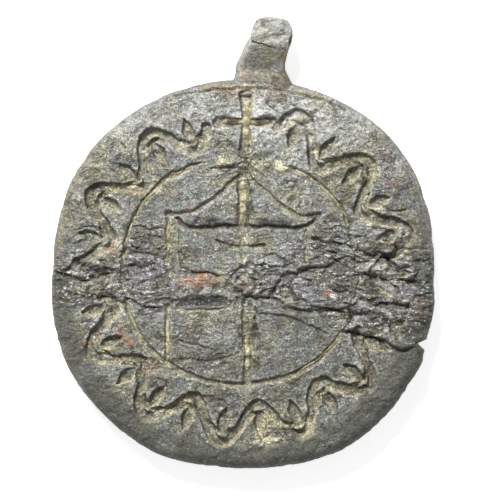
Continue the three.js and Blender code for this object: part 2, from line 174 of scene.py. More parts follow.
def slabs(x, y, grain, seed):
    """Broken slabs. Returns how high each stands, about -1 to 1, and 1 on the breaks between them."""
    u = x / grain[0] + 0.25 * lumps(x, y, grain[0] * 0.7, seed)
    v = y / grain[1] + 0.25 * lumps(x, y, grain[0] * 0.5, seed + 1)
    tile = 37
    at_x, at_y, rise, tilt_x, tilt_y = np.random.default_rng(seed).random((5, tile, tile))
    nearest = np.full(x.shape, 9.0)
    second = np.full(x.shape, 9.0)
    height = np.zeros(x.shape)
    for step_i in (-1, 0, 1):
        for step_j in (-1, 0, 1):
            i, j = np.floor(u).astype(int) + step_i, np.floor(v).astype(int) + step_j
            cell = (i % tile, j % tile)
            du, dv = u - i - 0.1 - 0.8 * at_x[cell], v - j - 0.1 - 0.8 * at_y[cell]
            away = np.hypot(du, dv)
            closer = away < nearest
            second = np.where(closer, nearest, np.minimum(second, away))
            leaning = 2 * rise[cell] - 1 + 1.6 * (du * (tilt_x[cell] - 0.5) + dv * (tilt_y[cell] - 0.5))
            height = np.where(closer, leaning, height)
            nearest = np.where(closer, away, nearest)
    return height, 1 - smooth(0.0, 0.2, second - nearest)


def spline(points, per_span=8):
    """A smooth path through points, as an array with one row a point."""
    p = np.asarray(points, float)
    ends = np.vstack([2 * p[0] - p[1], p, 2 * p[-1] - p[-2]])
    t = np.linspace(0, 1, per_span, endpoint=False)[:, None]
    spans = []
    for k in range(len(p) - 1):
        a, b, c, d = ends[k : k + 4]
        curve = 2 * b + (c - a) * t + (2 * a - 5 * b + 4 * c - d) * t**2 + (3 * b - a - 3 * c + d) * t**3
        spans.append(0.5 * curve)
    return np.vstack([*spans, p[-1:]])


# The graver leaned: the wall below and to the right of a cut is the gentler one. That wall also faces the key
# lamp and gets the painted highlight, while the wall across from it gets the painted shade.
LEAN_X = 0.38
LEAN_Y = 0.92


def measure(path, x, y, reach):
    """How far points lie from a path, up to reach, the share of its length they lie at, and their side of it.

    The last of the four is 1 straight below the path, towards the foot of the face, and -1 straight above it.
    """
    away = np.full(x.shape, float(reach))
    along = np.zeros(x.shape)
    side = np.zeros(x.shape)
    below = np.zeros(x.shape)
    low, high = path.min(axis=0) - reach, path.max(axis=0) + reach
    near = np.nonzero((x > low[0]) & (x < high[0]) & (y > low[1]) & (y < high[1]))[0]
    near_x, near_y = x[near], y[near]
    steps = np.diff(path, axis=0)
    lengths = np.hypot(steps[:, 0], steps[:, 1])
    starts = np.concatenate([[0], np.cumsum(lengths)])
    for k, (step, length) in enumerate(zip(steps, lengths)):
        start, end = path[k], path[k + 1]
        low, high = np.minimum(start, end) - reach, np.maximum(start, end) + reach
        here = np.nonzero((near_x > low[0]) & (near_x < high[0]) & (near_y > low[1]) & (near_y < high[1]))[0]
        dx, dy = near_x[here] - start[0], near_y[here] - start[1]
        share = np.clip((dx * step[0] + dy * step[1]) / length**2, 0, 1)
        ox, oy = dx - share * step[0], dy - share * step[1]
        d = np.hypot(ox, oy)
        hit = near[here]
        closer = d < away[hit]
        hit = hit[closer]
        away[hit] = d[closer]
        along[hit] = (starts[k] + share[closer] * length) / starts[-1]
        side[hit] = np.sign(step[0] * oy[closer] - step[1] * ox[closer])
        below[hit] = (LEAN_X * ox[closer] - LEAN_Y * oy[closer]) / np.maximum(d[closer], 1e-6)
    return away, along, side, below


def edge_radius(angle):
    """The plate's radius at an angle, in radians."""
    degrees = np.degrees(angle) % 360
    at = np.array([row[0] for row in EDGE_WAVER], float)
    stray = np.array([row[1] for row in EDGE_WAVER], float)
    at = np.concatenate([at[-2:] - 360, at, at[:2] + 360])
    stray = np.concatenate([stray[-2:], stray, stray[:2]])
    slope = np.gradient(stray, at)
    k = np.clip(np.searchsorted(at, degrees, side="right") - 1, 0, len(at) - 2)
    gap = at[k + 1] - at[k]
    t = (degrees - at[k]) / gap
    rise = (2 * t**3 - 3 * t**2 + 1) * stray[k] + (t**3 - 2 * t**2 + t) * gap * slope[k]
    rise += (3 * t**2 - 2 * t**3) * stray[k + 1] + (t**3 - t**2) * gap * slope[k + 1]
    return bpy.context.scene.lead_seal_sizes.plate_radius + rise


def even(t):
    """The share of a width that stays the same all along."""
    return 1.0


def tapering(t):
    """A stroke that narrows towards both ends."""
    return 0.55 + 0.45 * np.sin(np.pi * t)


def pointed(t):
    """A leaf, nearly pointed at both ends."""
    return 0.15 + 0.85 * np.sin(np.pi * t)


def swaying(t):
    """A stroke whose width swells and shrinks a little."""
    return 1 + 0.16 * np.sin(t * 61) * np.sin(t * 23 + 2)


# A cut of the graver: its path, the width of its mouth and its depth in millimetres, and the share of that
# width at each place along it. earth is how strongly earth tints it, and how strong the painted highlight on
# its lower wall is. lean is how much gentler its lower wall is or, below 0, its upper wall. dark is how
# strong the painted shade on its upper wall is. What it has over 1 paints shade over its floor too.
Cut = namedtuple("Cut", "path mouth depth share earth lean dark", defaults=(even, 0.4, 0.3, 0.6))


def ring_share(t):
    """The circle's line wavers. It almost fades out at its head and where the band crushed its right side."""
    head = smooth(0.165, 0.195, t) * smooth(0.325, 0.295, t)
    lost = smooth(0.9, 0.93, t) + 1 - smooth(0.02, 0.055, t)
    return (1 + 0.2 * np.sin(t * 40)) * (1 - 0.93 * head) * (1 - 0.75 * lost)


def ring_path(steps=120):
    """The hand-drawn circle, a little squarer than a true one."""
    angle = np.linspace(0, TURN, steps + 1)
    power = 2 / CIRCLE_SQUARENESS
    c, s = np.cos(angle), np.sin(angle)
    x = CIRCLE_CENTRE[0] + CIRCLE_HALF_WIDTH * np.sign(c) * np.abs(c) ** power
    y = CIRCLE_CENTRE[1] + CIRCLE_HALF_HEIGHT * np.sign(s) * np.abs(s) ** power
    return np.column_stack([x, y])


# The circle's earth lies against the inner wall of its groove.
FILL_SHIFT = 0.09


def arc_of_ring(start, end):
    """The stretch of the circle between two angles in degrees."""
    whole = ring_path(360)[:-1][np.arange(start, end + 1) % 360]
    return CIRCLE_CENTRE + (whole - CIRCLE_CENTRE) * (1 - FILL_SHIFT / CIRCLE_HALF_WIDTH)


def border_point(degrees, radius):
    """A point of the border. The graver's hand wanders a little."""
    wander = np.sin(np.radians(degrees * 5)) + np.sin(np.radians(degrees * 13 + 40))
    radius = radius + BORDER_WANDER * wander
    x = BORDER_CENTRE[0] + radius * np.cos(np.radians(degrees))
    y = BORDER_CENTRE[1] + radius * np.sin(np.radians(degrees))
    return np.column_stack([x, y])


def stem_cut():
    """The stem that waves round the border, from one side of the cross to the other."""
    waves = np.linspace(0, BORDER_WAVES, BORDER_WAVES * STEM_STEPS + 1)
    degrees = STEM_START - STEM_SPAN * waves / BORDER_WAVES
    path = border_point(degrees, BORDER_RADIUS + BORDER_WAVE * np.sin(TURN * waves))
    return Cut(path, 1.0, 0.58, swaying, earth=1.0, lean=0.45, dark=0.95)


def leaf_cuts():
    """One leaf in each bend of the stem, with a small leaflet to each side of it."""
    bends = BORDER_WAVES * 2
    cuts = []
    for k in range(bends):
        degrees = STEM_START - STEM_SPAN * (k + 0.5) / bends
        inwards = -1 if k % 2 == 0 else 1
        near = BORDER_RADIUS - inwards * (BORDER_WAVE - LEAF_INSET)
        foot = border_point(np.array([degrees]), near)[0]
        out = np.array([math.cos(math.radians(degrees)), math.sin(math.radians(degrees))]) * inwards
        across = np.array([-out[1], out[0]])
        for lean, length, mouth in LEAVES:
            t = np.linspace(0, 1, 7)[:, None]
            bow = math.copysign(LEAFLET_BOW, lean) * np.sin(math.pi * t) if lean else 0 * t
            path = foot + out * (t * length * math.cos(lean)) + across * (t * length * math.sin(lean) + bow)
            cuts.append(Cut(path, mouth, 0.55, pointed, earth=0.95, lean=0.45, dark=0.9))
    return cuts


def cross_share(t):
    """The bars of the cross flare towards their ends."""
    return 1 + 0.45 * np.abs(2 * t - 1) ** 3


def staff_foot_share(t):
    """The staff opens into a channel and closes again below its knot."""
    return 1.25 - 0.5 * smooth(0.58, 0.66, t)


def device_cuts():
    """The cross over the circle, and the staff, gable, beam, posts and bars in it."""
    return [
        # The cross
        Cut(spline([(0.14, 16.95), (0.14, 14.5), (0.16, 11.9)]), 1.0, 0.55, cross_share, earth=0.9),
        Cut(spline([(-2.42, 14.5), (0.1, 14.42), (2.56, 14.46)]), 0.85, 0.5, cross_share, earth=0.75),
        # The circle, and where it was cut once more
        Cut(ring_path(), 0.54, 0.36, ring_share, earth=0.8, dark=0.4),
        Cut(arc_of_ring(203, 230), 0.42, 0.3, tapering, earth=1.0, dark=0.2),
        # The staff: above the beam, below it, its foot and the foot's right wall
        Cut(spline([(-0.12, 9.8), (-0.12, 7.2), (-0.12, 4.5)]), 1.3, 0.36, earth=0.15, dark=1.25),
        Cut(spline([(-0.12, 4.6), (-0.12, 3.2), (-0.1, 1.5)]), 0.75, 0.24, tapering, earth=1.0, dark=0.2),
        Cut(spline([(0.28, -2.5), (0.28, -3.28), (0.31, -7.4), (0.19, -9.9)]), 1.05, 0.42, staff_foot_share,
            earth=0.4, dark=0.15),
        Cut(spline([(0.98, -2.7), (0.95, -4.2), (0.78, -6.2)]), 0.34, 0.34, tapering, earth=0.0, lean=0.0,
            dark=1.6),
        # The broken line under the circle's head, and the two sides of the gable
        Cut(spline([(-3.0, 10.15), (-1.9, 10.25), (-0.9, 10.3), (0.1, 10.45), (0.9, 10.0), (1.7, 9.4)]), 0.55,
            0.34, tapering, earth=0.5, dark=1.0),
        Cut(spline([(-0.1, 9.9), (-1.45, 8.56), (-3.0, 7.25), (-4.7, 6.2), (-6.05, 5.9), (-7.2, 5.9)]), 0.5,
            0.34, earth=0.6),
        Cut(spline([(0.0, 9.9), (1.03, 8.8), (2.58, 7.37), (3.9, 6.4), (5.1, 5.72), (6.98, 5.86)]), 0.5, 0.34,
            earth=1.0),
        # The beam and the line under it
        Cut(spline([(-6.25, 5.45), (-5.7, 4.8), (-4.9, 4.62), (-3.23, 4.64), (-0.9, 4.74), (0.42, 4.74),
            (3.33, 4.64), (5.2, 4.66), (6.33, 5.1), (6.9, 5.75)]), 0.46, 0.42, earth=0.5, lean=0.0, dark=1.9),
        Cut(spline([(-2.52, 3.42), (-1.73, 2.95), (-0.7, 2.72), (0.98, 2.86), (1.92, 3.02)]), 0.5, 0.26,
            tapering, earth=0.5, dark=1.3),
        # The left post: its worn channel, the groove in that and its foot. Then the right post
        Cut(spline([(-6.85, 5.7), (-6.8, 3.0), (-6.75, 0.35)]), 1.2, 0.3, earth=0.35, dark=0.0),
        Cut(spline([(-7.15, 5.8), (-7.15, 3.0), (-7.17, 0.45)]), 0.5, 0.34, earth=1.0, dark=0.0),
        Cut(spline([(-7.15, -2.7), (-7.18, -5.2), (-7.17, -7.9)]), 0.56, 0.36, earth=1.0, dark=0.1),
        Cut(spline([(5.8, 4.7), (5.92, 3.0), (5.88, 1.2)]), 0.6, 0.3, tapering, earth=1.0, dark=0.6),
        # The bruise beside the staff: its gentle upper slope and its dark foot
        Cut(spline([(-6.6, -2.4), (-5.4, -2.14), (-4.17, -2.0), (-2.77, -2.05), (-1.45, -2.35)]), 1.2, 0.34,
            tapering, earth=0.0, lean=-1.0, dark=0.0),
        Cut(spline([(-6.2, -2.68), (-5.4, -2.42), (-4.17, -2.26), (-2.77, -2.3), (-1.5, -2.6)]), 0.8, 0.42,
            tapering, earth=0.0, lean=-0.6, dark=1.65),
        # The lesser bars and scratches of the panels
        Cut(spline([(-0.65, -1.97), (0.7, -2.06), (2.2, -1.97), (3.6, -2.4)]), 0.6, 0.4, tapering, earth=0.3),
        Cut(spline([(1.31, -3.42), (3.33, -3.66), (4.92, -4.13), (6.33, -4.7), (7.7, -5.3)]), 0.5, 0.22,
            tapering, earth=0.1),
        Cut(spline([(-6.05, 4.3), (-6.0, 1.9), (-5.8, 0.95)]), 0.34, 0.2, tapering, earth=0.2, dark=0.5),
        Cut(spline([(-5.8, 0.85), (-4.4, 0.4), (-2.4, 0.3), (-0.9, 0.5)]), 0.26, 0.16, tapering, earth=0.2,
            dark=0.8),
        Cut(spline([(-7.0, -2.95), (-5.2, -3.05), (-3.3, -3.0), (-1.2, -2.9)]), 0.34, 0.12, tapering,
            earth=0.9, dark=0.0),
        # The line over the cross
        Cut(spline([(-6.6, 17.05), (-4.83, 17.25), (-2.77, 17.48), (0.05, 17.62), (2.39, 17.55),
            (4.27, 17.25), (6.33, 16.78), (8.02, 16.3), (9.42, 15.66)]), 0.36, 0.3, tapering, earth=0.35),
    ]


# The finest cracks of the skin, in the panels and at both ends of the beam
FINE_CRACKS = (
    ((-6.14, -5.9), (-5.4, -6.1), (-4.8, -6.3), (-4.0, -6.5), (-3.4, -6.6)),
    ((-6.05, -7.73), (-5.0, -7.64), (-4.2, -7.73), (-3.3, -7.85), (-2.3, -7.64), (-1.36, -7.3), (-0.5, -7.1)),
    ((-3.3, -6.6), (-2.6, -7.1), (-2.3, -7.6)),
    ((-10.6, 4.6), (-9.8, 4.8), (-8.9, 4.4), (-7.6, 4.6)),
    ((-10.6, 3.66), (-9.7, 3.84), (-8.9, 3.47), (-8.1, 3.75), (-7.5, 3.47)),
    ((-10.6, 2.9), (-9.8, 2.8), (-8.95, 3.2), (-8.2, 2.7), (-7.5, 2.9)),
    ((-9.7, 3.84), (-9.5, 3.3), (-9.8, 2.8)),
    ((-8.9, 4.4), (-8.7, 4.0), (-8.9, 3.47)),
    ((7.8, 4.2), (8.6, 4.8), (9.5, 4.5), (10.1, 3.85), (9.6, 3.2), (8.7, 3.4), (8.0, 3.85)),
    ((6.6, 2.6), (8.0, 2.9), (9.0, 3.2), (9.9, 2.8), (10.8, 2.35), (11.6, 1.8)),
    ((6.2, 1.6), (7.3, 2.0), (8.4, 1.6), (9.6, 2.0), (10.6, 1.3)),
    ((1.4, 1.7), (2.6, 2.1), (3.7, 1.7), (4.9, 2.0)),
    ((-15.4, 4.4), (-14.2, 4.7), (-13.1, 4.2), (-12.2, 4.5)),
    ((-15.9, 3.1), (-14.6, 3.4), (-13.6, 3.0)),
    ((11.9, 4.8), (13.3, 4.2), (14.6, 4.4), (15.9, 3.7)),
    ((12.4, 6.9), (13.7, 6.2), (15.0, 6.3)),
)


def fine_cracks():
    looks = {"share": tapering, "earth": 0.0, "lean": 0.0, "dark": 1.7}
    return [Cut(spline(points), 0.26, 0.16, **looks) for points in FINE_CRACKS]


# The cracks of the crushed band: their path, mouth and depth, and the height of the lip on their left
CRACKS = (
    (((10.2, 3.1), (11.8, 2.15), (13.1, 1.7), (14.4, 1.0), (15.7, 0.65)), 0.5, 0.4, 0.28),
    (((10.4, 0.4), (11.8, 0.0), (13.6, -0.2), (15.7, -0.55), (16.9, -0.5)), 0.5, 0.36, 0.26),
    (((11.7, -1.8), (12.5, -2.4), (14.4, -2.65), (16.4, -3.2)), 0.42, 0.3, 0.24),
    (((2.6, -2.5), (5.2, -3.1), (7.8, -3.1), (10.7, -3.5), (12.5, -3.85), (14.7, -4.8)), 0.44, 0.32, 0.26),
    (((8.4, -5.05), (11.1, -5.3), (13.1, -6.1), (14.5, -6.85), (15.6, -6.7), (16.7, -6.3)), 0.36, 0.34, 0.3),
    (((1.1, -1.85), (2.4, -1.75), (3.7, -0.2), (5.4, 0.65), (7.6, 0.95), (9.4, 1.8)), 0.46, 0.34, 0.26),
    (((-16.2, 1.15), (-14.9, 1.15), (-13.5, 0.95), (-12.2, 0.45)), 0.56, 0.38, 0.22),
    (((-10.9, 0.85), (-9.7, 1.15), (-8.1, 1.1)), 0.42, 0.28, 0.2),
    (((-15.2, -1.3), (-13.7, -2.05), (-12.5, -2.1)), 0.44, 0.3, 0.22),
    (((-1.3, 0.1), (-3.0, 0.3), (-4.6, 0.4), (-6.3, 0.4)), 0.26, 0.2, 0.22),
    (((16.1, 1.4), (17.6, 1.5)), 0.35, 0.25, 0.1),
    (((-10.92, 1.9), (-9.98, 2.2), (-8.67, 2.1), (-7.5, 1.9)), 0.3, 0.22, 0.08),
    (((-10.08, -1.03), (-9.4, -0.6), (-8.67, 0.09)), 0.34, 0.28, 0.1),
    (((5.6, 4.0), (7.2, 3.1), (8.6, 3.3), (9.8, 2.6)), 0.36, 0.26, 0.16),
    (((4.9, -1.0), (6.6, -0.7), (8.2, -1.3), (9.9, -1.2)), 0.34, 0.24, 0.16),
)

# How far from a crack its lip is highest, and how wide the lip is
CRACK_LIP_PLACE = 0.6
CRACK_LIP_WIDTH = 0.55

# The crushed band: x, the middle of the band there and its half height, from the left rim to the right
BAND = (
    (-18.5, -0.3, 2.3), (-14.0, -0.2, 2.2), (-10.0, 0.0, 3.6), (-7.7, -0.3, 3.2), (-6.4, -0.6, 1.2),
    (-1.8, -0.7, 1.2), (0.0, -0.9, 2.1), (3.5, -0.1, 2.9), (6.5, 0.3, 3.8), (8.5, 0.2, 5.0),
    (12.0, -1.0, 5.0), (18.5, -1.2, 4.8),
)


def crushed(x, y):
    """1 in the band where the plate was crushed and its skin has wrinkled, 0 outside it."""
    at, middles, halves = zip(*BAND)
    off = np.abs(y - np.interp(x, at, middles)) / np.interp(x, at, halves) + 0.3 * rubble(x, y, 2.4, 301, 3)
    return 1 - smooth(0.7, 1.2, off)


def calm(x):
    """1 along the stretch of the band, left of the staff, that stayed smooth."""
    return smooth(-7.4, -6.2, x) * smooth(-0.4, -1.8, x)


Folds = namedtuple("Folds", "height breaks slabs")


def wrinkles(x, y):
    """The folded and broken skin of the band: its height, 1 on its breaks, and how high each slab lies."""
    slope = y + 0.14 * x * smooth(3, 12, x)
    sway = slope + 0.5 * lumps(x, y, (3.6, 2.2), 311) + 0.2 * lumps(x, y, (1.2, 0.9), 312)
    folds = 1 - np.abs(rubble(x, sway, (3.2, 1.2), 313, 2))
    creases = 1 - np.abs(rubble(x, sway, (1.3, 0.5), 317, 4, 0.65))
    grain = 1 - np.abs(rubble(x, sway, (0.7, 0.36), 323, 2, 0.7))
    large, large_breaks = slabs(x, sway, (4.3, 1.7), 331)
    small, small_breaks = slabs(x, sway, (1.7, 0.7), 341)
    large_breaks *= smooth(-0.25, 0.4, lumps(x, y, 2.4, 345))
    small_breaks *= smooth(0.0, 0.6, lumps(x, y, 2.0, 346))
    height = 0.2 * (folds - 0.6) + 0.15 * (creases - 0.6) + 0.09 * (grain - 0.6)
    height = height + 0.19 * large + 0.07 * small
    height -= 0.24 * large_breaks + 0.11 * small_breaks
    breaks = np.maximum(large_breaks, 0.5 * small_breaks)
    return Folds(height * (1 - 0.65 * calm(x)), breaks * (1 - calm(x)), large)


Relief = namedtuple("Relief", "height stains")


# Spots on the face, of stain, painted shadow and painted light, by their name: place, radius across and
# down, and strength
FACE_SPOTS = {
    # Painted shadow in soft dark places: over and under the beam, in the old bruise beside the staff, and
    # beside the staff, under the circle's head and on the cross's arms
    "shadow": (
        (-3.0, 5.08, 3.4, 0.42, 0.9), (2.9, 5.08, 3.2, 0.42, 0.9), (-3.8, -2.25, 2.4, 0.42, 1.0),
        (-0.6, -2.1, 0.5, 0.3, 0.6), (-3.9, -2.8, 2.5, 0.25, 0.7), (4.8, -4.3, 3.4, 0.5, 0.4),
        (0.6, -1.9, 1.2, 0.3, 0.6), (-0.9, 10.2, 2.0, 0.25, 0.9), (1.0, 9.9, 0.7, 0.3, 0.7),
        (15.0, -6.5, 2.0, 0.35, 0.4), (-3.0, 4.25, 3.2, 0.16, 0.4), (3.0, 4.25, 3.0, 0.16, 0.4),
        (0.38, 7.3, 0.24, 2.6, 1.0), (0.92, -4.7, 0.22, 1.8, 1.0), (-0.95, 14.45, 0.8, 0.35, 0.7),
        (1.4, 14.45, 0.9, 0.35, 0.8),
    ),
    "rust": (
        (0.0, 17.6, 4.6, 0.22, 0.55), (0.1, -0.8, 0.9, 0.8, 0.45), (-15.4, -6.5, 0.8, 0.55, 1.0),
        (-16.7, -2.2, 0.6, 0.4, 1.0), (-12.2, 2.4, 0.7, 0.6, 0.8), (-11.7, -5.1, 0.5, 0.7, 0.6),
        (-10.7, -6.0, 0.7, 0.5, 1.0), (16.5, -2.2, 0.45, 0.9, 1.0), (16.4, -3.9, 0.4, 0.9, 0.8),
        (14.0, 8.7, 0.6, 0.5, 0.3), (13.0, 11.3, 0.9, 0.7, 0.3), (15.8, 4.6, 0.4, 0.8, 0.45),
        (7.7, -1.5, 0.6, 0.45, 0.9), (-8.8, -8.7, 0.6, 0.9, 0.4), (-4.1, -0.35, 2.2, 0.7, 1.0),
        (-14.2, 10.6, 0.8, 0.7, 0.2), (-8.3, 15.3, 1.0, 0.5, 0.25), (2.6, 16.9, 1.6, 0.5, 0.3),
        (-1.9, 17.2, 1.2, 0.3, 0.3), (-16.2, 5.7, 0.5, 0.5, 0.3),
    ),
    "ochre": (
        (2.4, -14.2, 0.9, 2.2, 0.8), (3.6, -13.2, 0.5, 1.2, 0.5), (5.8, -13.9, 0.9, 1.3, 0.75),
        (8.7, -13.6, 0.6, 0.8, 0.6), (10.7, -12.0, 0.5, 0.6, 0.6), (-2.8, -14.7, 0.4, 0.4, 0.9),
        (-2.1, 10.8, 0.7, 0.5, 1.0), (-0.15, 1.5, 0.6, 0.6, 0.9), (-2.1, -2.2, 0.9, 0.3, 0.6),
        (-17.2, 5.0, 0.5, 2.2, 0.6), (-17.0, 2.2, 0.4, 1.5, 0.5), (0.4, -0.8, 1.5, 1.5, 0.6),
        (-7.6, -11.9, 1.6, 1.3, 0.5), (-5.5, -11.6, 0.6, 1.5, 0.5), (5.6, 8.0, 4.0, 3.0, 0.2),
        (9.0, 11.6, 2.4, 1.6, 0.35), (-12.6, 4.2, 1.3, 3.0, 0.35), (0.2, -7.0, 0.6, 0.6, 0.9),
        (-11.0, 12.6, 1.6, 1.2, 0.25), (4.2, 11.9, 0.9, 0.9, 0.4), (14.8, -7.3, 1.2, 0.25, 1.0),
        (3.2, 10.3, 1.5, 0.7, 0.7), (0.0, 9.2, 1.0, 0.6, 0.8), (-4.5, -2.9, 2.4, 0.35, 0.5),
        (-3.9, -1.12, 2.3, 0.24, 0.9), (-1.2, 2.4, 0.9, 0.25, 0.9), (-0.05, 3.5, 0.4, 1.2, 0.9),
        (5.95, 3.2, 0.35, 1.7, 0.8), (-2.2, 0.1, 0.7, 0.4, 0.7), (12.0, 12.0, 1.2, 2.0, 0.3),
        (-14.5, 8.2, 0.8, 0.5, 0.4), (13.6, -9.4, 1.4, 0.9, 0.3),
    ),
    # Pale yellow crumbs
    "crumb": (
        (-2.2, 10.73, 0.6, 0.5, 1.0), (1.4, 9.85, 0.4, 0.35, 0.9), (3.4, 10.35, 0.8, 0.4, 0.7),
        (-2.8, -14.7, 0.35, 0.35, 1.0), (0.25, -7.1, 0.4, 0.4, 0.9), (15.4, -6.1, 0.5, 0.3, 0.6),
        (-2.4, -1.2, 0.4, 0.25, 0.6), (1.8, -14.9, 0.9, 1.5, 0.95), (3.3, -15.3, 0.6, 0.7, 0.8),
        (6.0, -14.9, 1.1, 0.7, 0.9), (5.6, -13.4, 0.6, 0.4, 0.7),
    ),
    # Paler places: worn lead, and painted light, as the top of the face is painted lighter towards the key
    # lamp and the ridge over the bruise gets a painted highlight
    "pale": (
        (-3.7, -1.38, 2.5, 0.36, 1.0), (0.1, -2.9, 0.7, 0.3, 0.4), (-3.7, -0.5, 2.0, 0.6, 0.9),
        (12.4, 0.75, 1.7, 0.7, 1.0), (-4.4, -5.6, 3.2, 1.8, 0.28), (3.3, 15.0, 5.6, 3.0, 1.0),
        (-3.2, 15.4, 3.0, 2.0, 0.6), (9.6, 14.0, 3.0, 2.0, 0.6), (-9.0, 13.5, 4.0, 2.5, 0.35),
        (6.0, 10.8, 3.0, 1.5, 0.4), (13.5, 11.0, 2.0, 2.0, 0.3),
    ),
    "green": (
        (-17.2, 4.2, 0.6, 2.6, 0.8), (1.9, -16.6, 1.6, 1.0, 0.6), (6.9, 17.0, 4.0, 0.7, 0.7),
        (-3.5, 18.0, 3.5, 0.5, 0.7),
    ),
}


# Low lumps: place, radius and height
LUMPS = (
    (-0.15, 1.45, 0.4, 0.24), (3.4, 10.2, 0.55, 0.24), (15.8, -4.3, 0.9, 0.26), (8.4, 3.1, 1.0, 0.24),
    (6.9, -0.9, 1.1, 0.24), (-9.4, -1.3, 1.0, 0.24), (-2.1, 10.75, 0.55, 0.3), (-1.2, 10.6, 0.4, 0.2),
    (2.3, 10.6, 0.5, 0.2), (0.25, -7.05, 0.45, 0.3), (-2.8, -14.7, 0.3, 0.15), (-0.6, -0.7, 0.7, 0.18),
    (5.2, 9.9, 0.5, 0.15), (1.6, 11.7, 0.6, 0.14), (12.4, 0.9, 0.9, 0.12), (13.8, -1.3, 0.8, 0.14),
    (1.9, -14.5, 0.5, 0.22), (1.5, -15.5, 0.45, 0.2), (3.2, -15.2, 0.4, 0.18), (6.1, -14.9, 0.6, 0.2),
    (-1.6, 10.45, 0.3, 0.2), (4.1, 10.35, 0.35, 0.22), (-0.3, 9.7, 0.35, 0.16), (-2.7, 10.9, 0.3, 0.2),
)


def spotted(spots, x, y):
    """How strongly the nearest of some soft, ragged spots stains each point."""
    ragged_x = x + 0.45 * rubble(x, y, 0.9, 401, 3)
    ragged_y = y + 0.45 * rubble(x, y, 0.9, 411, 3)
    most = np.zeros(x.shape)
    for at_x, at_y, wide, high, strength in spots:
        off = np.hypot((ragged_x - at_x) / wide, (ragged_y - at_y) / high)
        most = np.maximum(most, strength * (1 - smooth(0.35, 1.25, off)))
    return most


# The knob where the staff was crushed: place, radius and height. Its folds run round its upper half.
KNOB_X, KNOB_Y = 0.1, -0.75
KNOB_RADIUS = 0.85
KNOB_RISE = 0.2


def knob(x, y):
    """The height of the knob and its folds, and 1 on the creases between them."""
    off = np.hypot(x - KNOB_X, (y - KNOB_Y) * 0.9) / KNOB_RADIUS
    upper = smooth(-0.7, 0.2, (y - KNOB_Y) / KNOB_RADIUS)
    creases = np.exp(-(((off - 1.1) / 0.13) ** 2)) + 0.7 * upper * np.exp(-(((off - 1.75) / 0.14) ** 2))
    swelling = np.exp(-(off**4)) + 0.5 * upper * np.exp(-(((off - 1.42) / 0.17) ** 2))
    return KNOB_RISE * swelling - 0.16 * creases, np.minimum(creases, 1)


def crumbled(x, y):
    """1 where the head of the circle has broken into crumbs."""
    return np.exp(-((np.abs(x - 0.6) / 3.1) ** 4) - ((y - 10.4) / 0.6) ** 2)


def wavered(coordinate, x, y, band, seed):
    """A coordinate shifted a little from place to place, and more where the band was crushed."""
    shifted = coordinate + 0.1 * lumps(x, y, 1.3, seed) + 0.06 * lumps(x, y, 0.45, seed + 1)
    return shifted + band * 0.35 * lumps(x, y, 1.6, seed + 2)


Grooves = namedtuple("Grooves", "depth burr earth gloom lit edge")

# How far beyond its mouth a cut is felt, and the greatest distance from a mouth that counts
CUT_REACH = 1.6
EDGE_REACH = 3.0


def engrave(x, y, ragged):
    """What the cuts leave: depth, burr, earth, painted shade on the upper walls and floors, a painted
    highlight on the lower walls, and the distance to the nearest mouth.

    ragged is how much wider or narrower the cuts are at each point.
    """
    depth, burr, earth, gloom, lit = np.zeros((5, *x.shape))
    edge = np.full(x.shape, EDGE_REACH)
    for cut in [stem_cut(), *leaf_cuts(), *device_cuts(), *fine_cracks()]:
        away, along, _, below = measure(cut.path, x, y, cut.mouth + CUT_REACH)
        half = cut.mouth / 2 * cut.share(along) * ragged
        inside = np.clip(1 - away / half, 0, 1)
        wall = 0.4 + 0.5 * abs(cut.lean) * smooth(0.0, 0.9, below * math.copysign(1, cut.lean))
        depth = np.maximum(depth, cut.depth * smooth(0, wall, inside))
        burr = np.maximum(burr, np.exp(-(((away - half - 0.08) / 0.11) ** 2)))
        # The lower wall faces the key lamp and gets a painted highlight where the cut holds earth. The upper
        # wall gets painted shade, and a dark over 1 paints shade over the floor too.
        lower_wall = smooth(0.0, 0.08, inside) * smooth(0.6, 0.38, inside) * smooth(-0.15, 0.35, below)
        earth = np.maximum(earth, cut.earth * 0.62 * smooth(0.1, 0.45, inside))
        lit = np.maximum(lit, cut.earth * lower_wall)
        upper_wall = smooth(0.35, -0.35, below) * smooth(-0.02, 0.12, inside) * smooth(0.55, 0.22, inside)
        gloom = np.maximum(gloom, min(cut.dark, 1) * upper_wall)
        gloom = np.maximum(gloom, max(cut.dark - 1, 0) * smooth(0.1, 0.4, inside))
        edge = np.minimum(edge, np.maximum(away - half, 0))
    return Grooves(depth, burr, earth, gloom, lit, edge)


def open_cracks(height, x, y):
    """Sinks the band's cracks into height, in place, and raises their lips. Returns 1 on the cracks."""
    splits = np.zeros(x.shape)
    for points, mouth, depth, lip in CRACKS:
        away, along, side, _ = measure(spline(points), x, y, 2.5)
        ends = smooth(0, 0.2, along) * (1 - smooth(0.8, 1, along))
        height += lip * ends * np.exp(-(((away - CRACK_LIP_PLACE) / CRACK_LIP_WIDTH) ** 2)) * (side > 0)
        split = np.exp(-((away / (0.45 * mouth)) ** 2)) * ends
        height -= depth * split
        splits = np.maximum(splits, split)
    return splits


# Patches whose skin is finely crazed: place, and radius across and down
CRAZED_PATCHES = ((-9.0, 3.4, 2.0, 2.0), (-3.2, -7.6, 2.2, 1.2), (7.6, 3.2, 1.7, 1.5))


def crazed_skin(x, y):
    """1 in the crazed patches, 0 outside them."""
    crazed = np.zeros(x.shape)
    for at_x, at_y, wide, high in CRAZED_PATCHES:
        crazed = np.maximum(crazed, np.exp(-(((x - at_x) / wide) ** 4) - ((y - at_y) / high) ** 4))
    return crazed


def outside_circle(x, y):
    """1 in the border, 0 inside the circle."""
    return smooth(10.6, 12.0, np.hypot(x - BORDER_CENTRE[0], y - BORDER_CENTRE[1]))


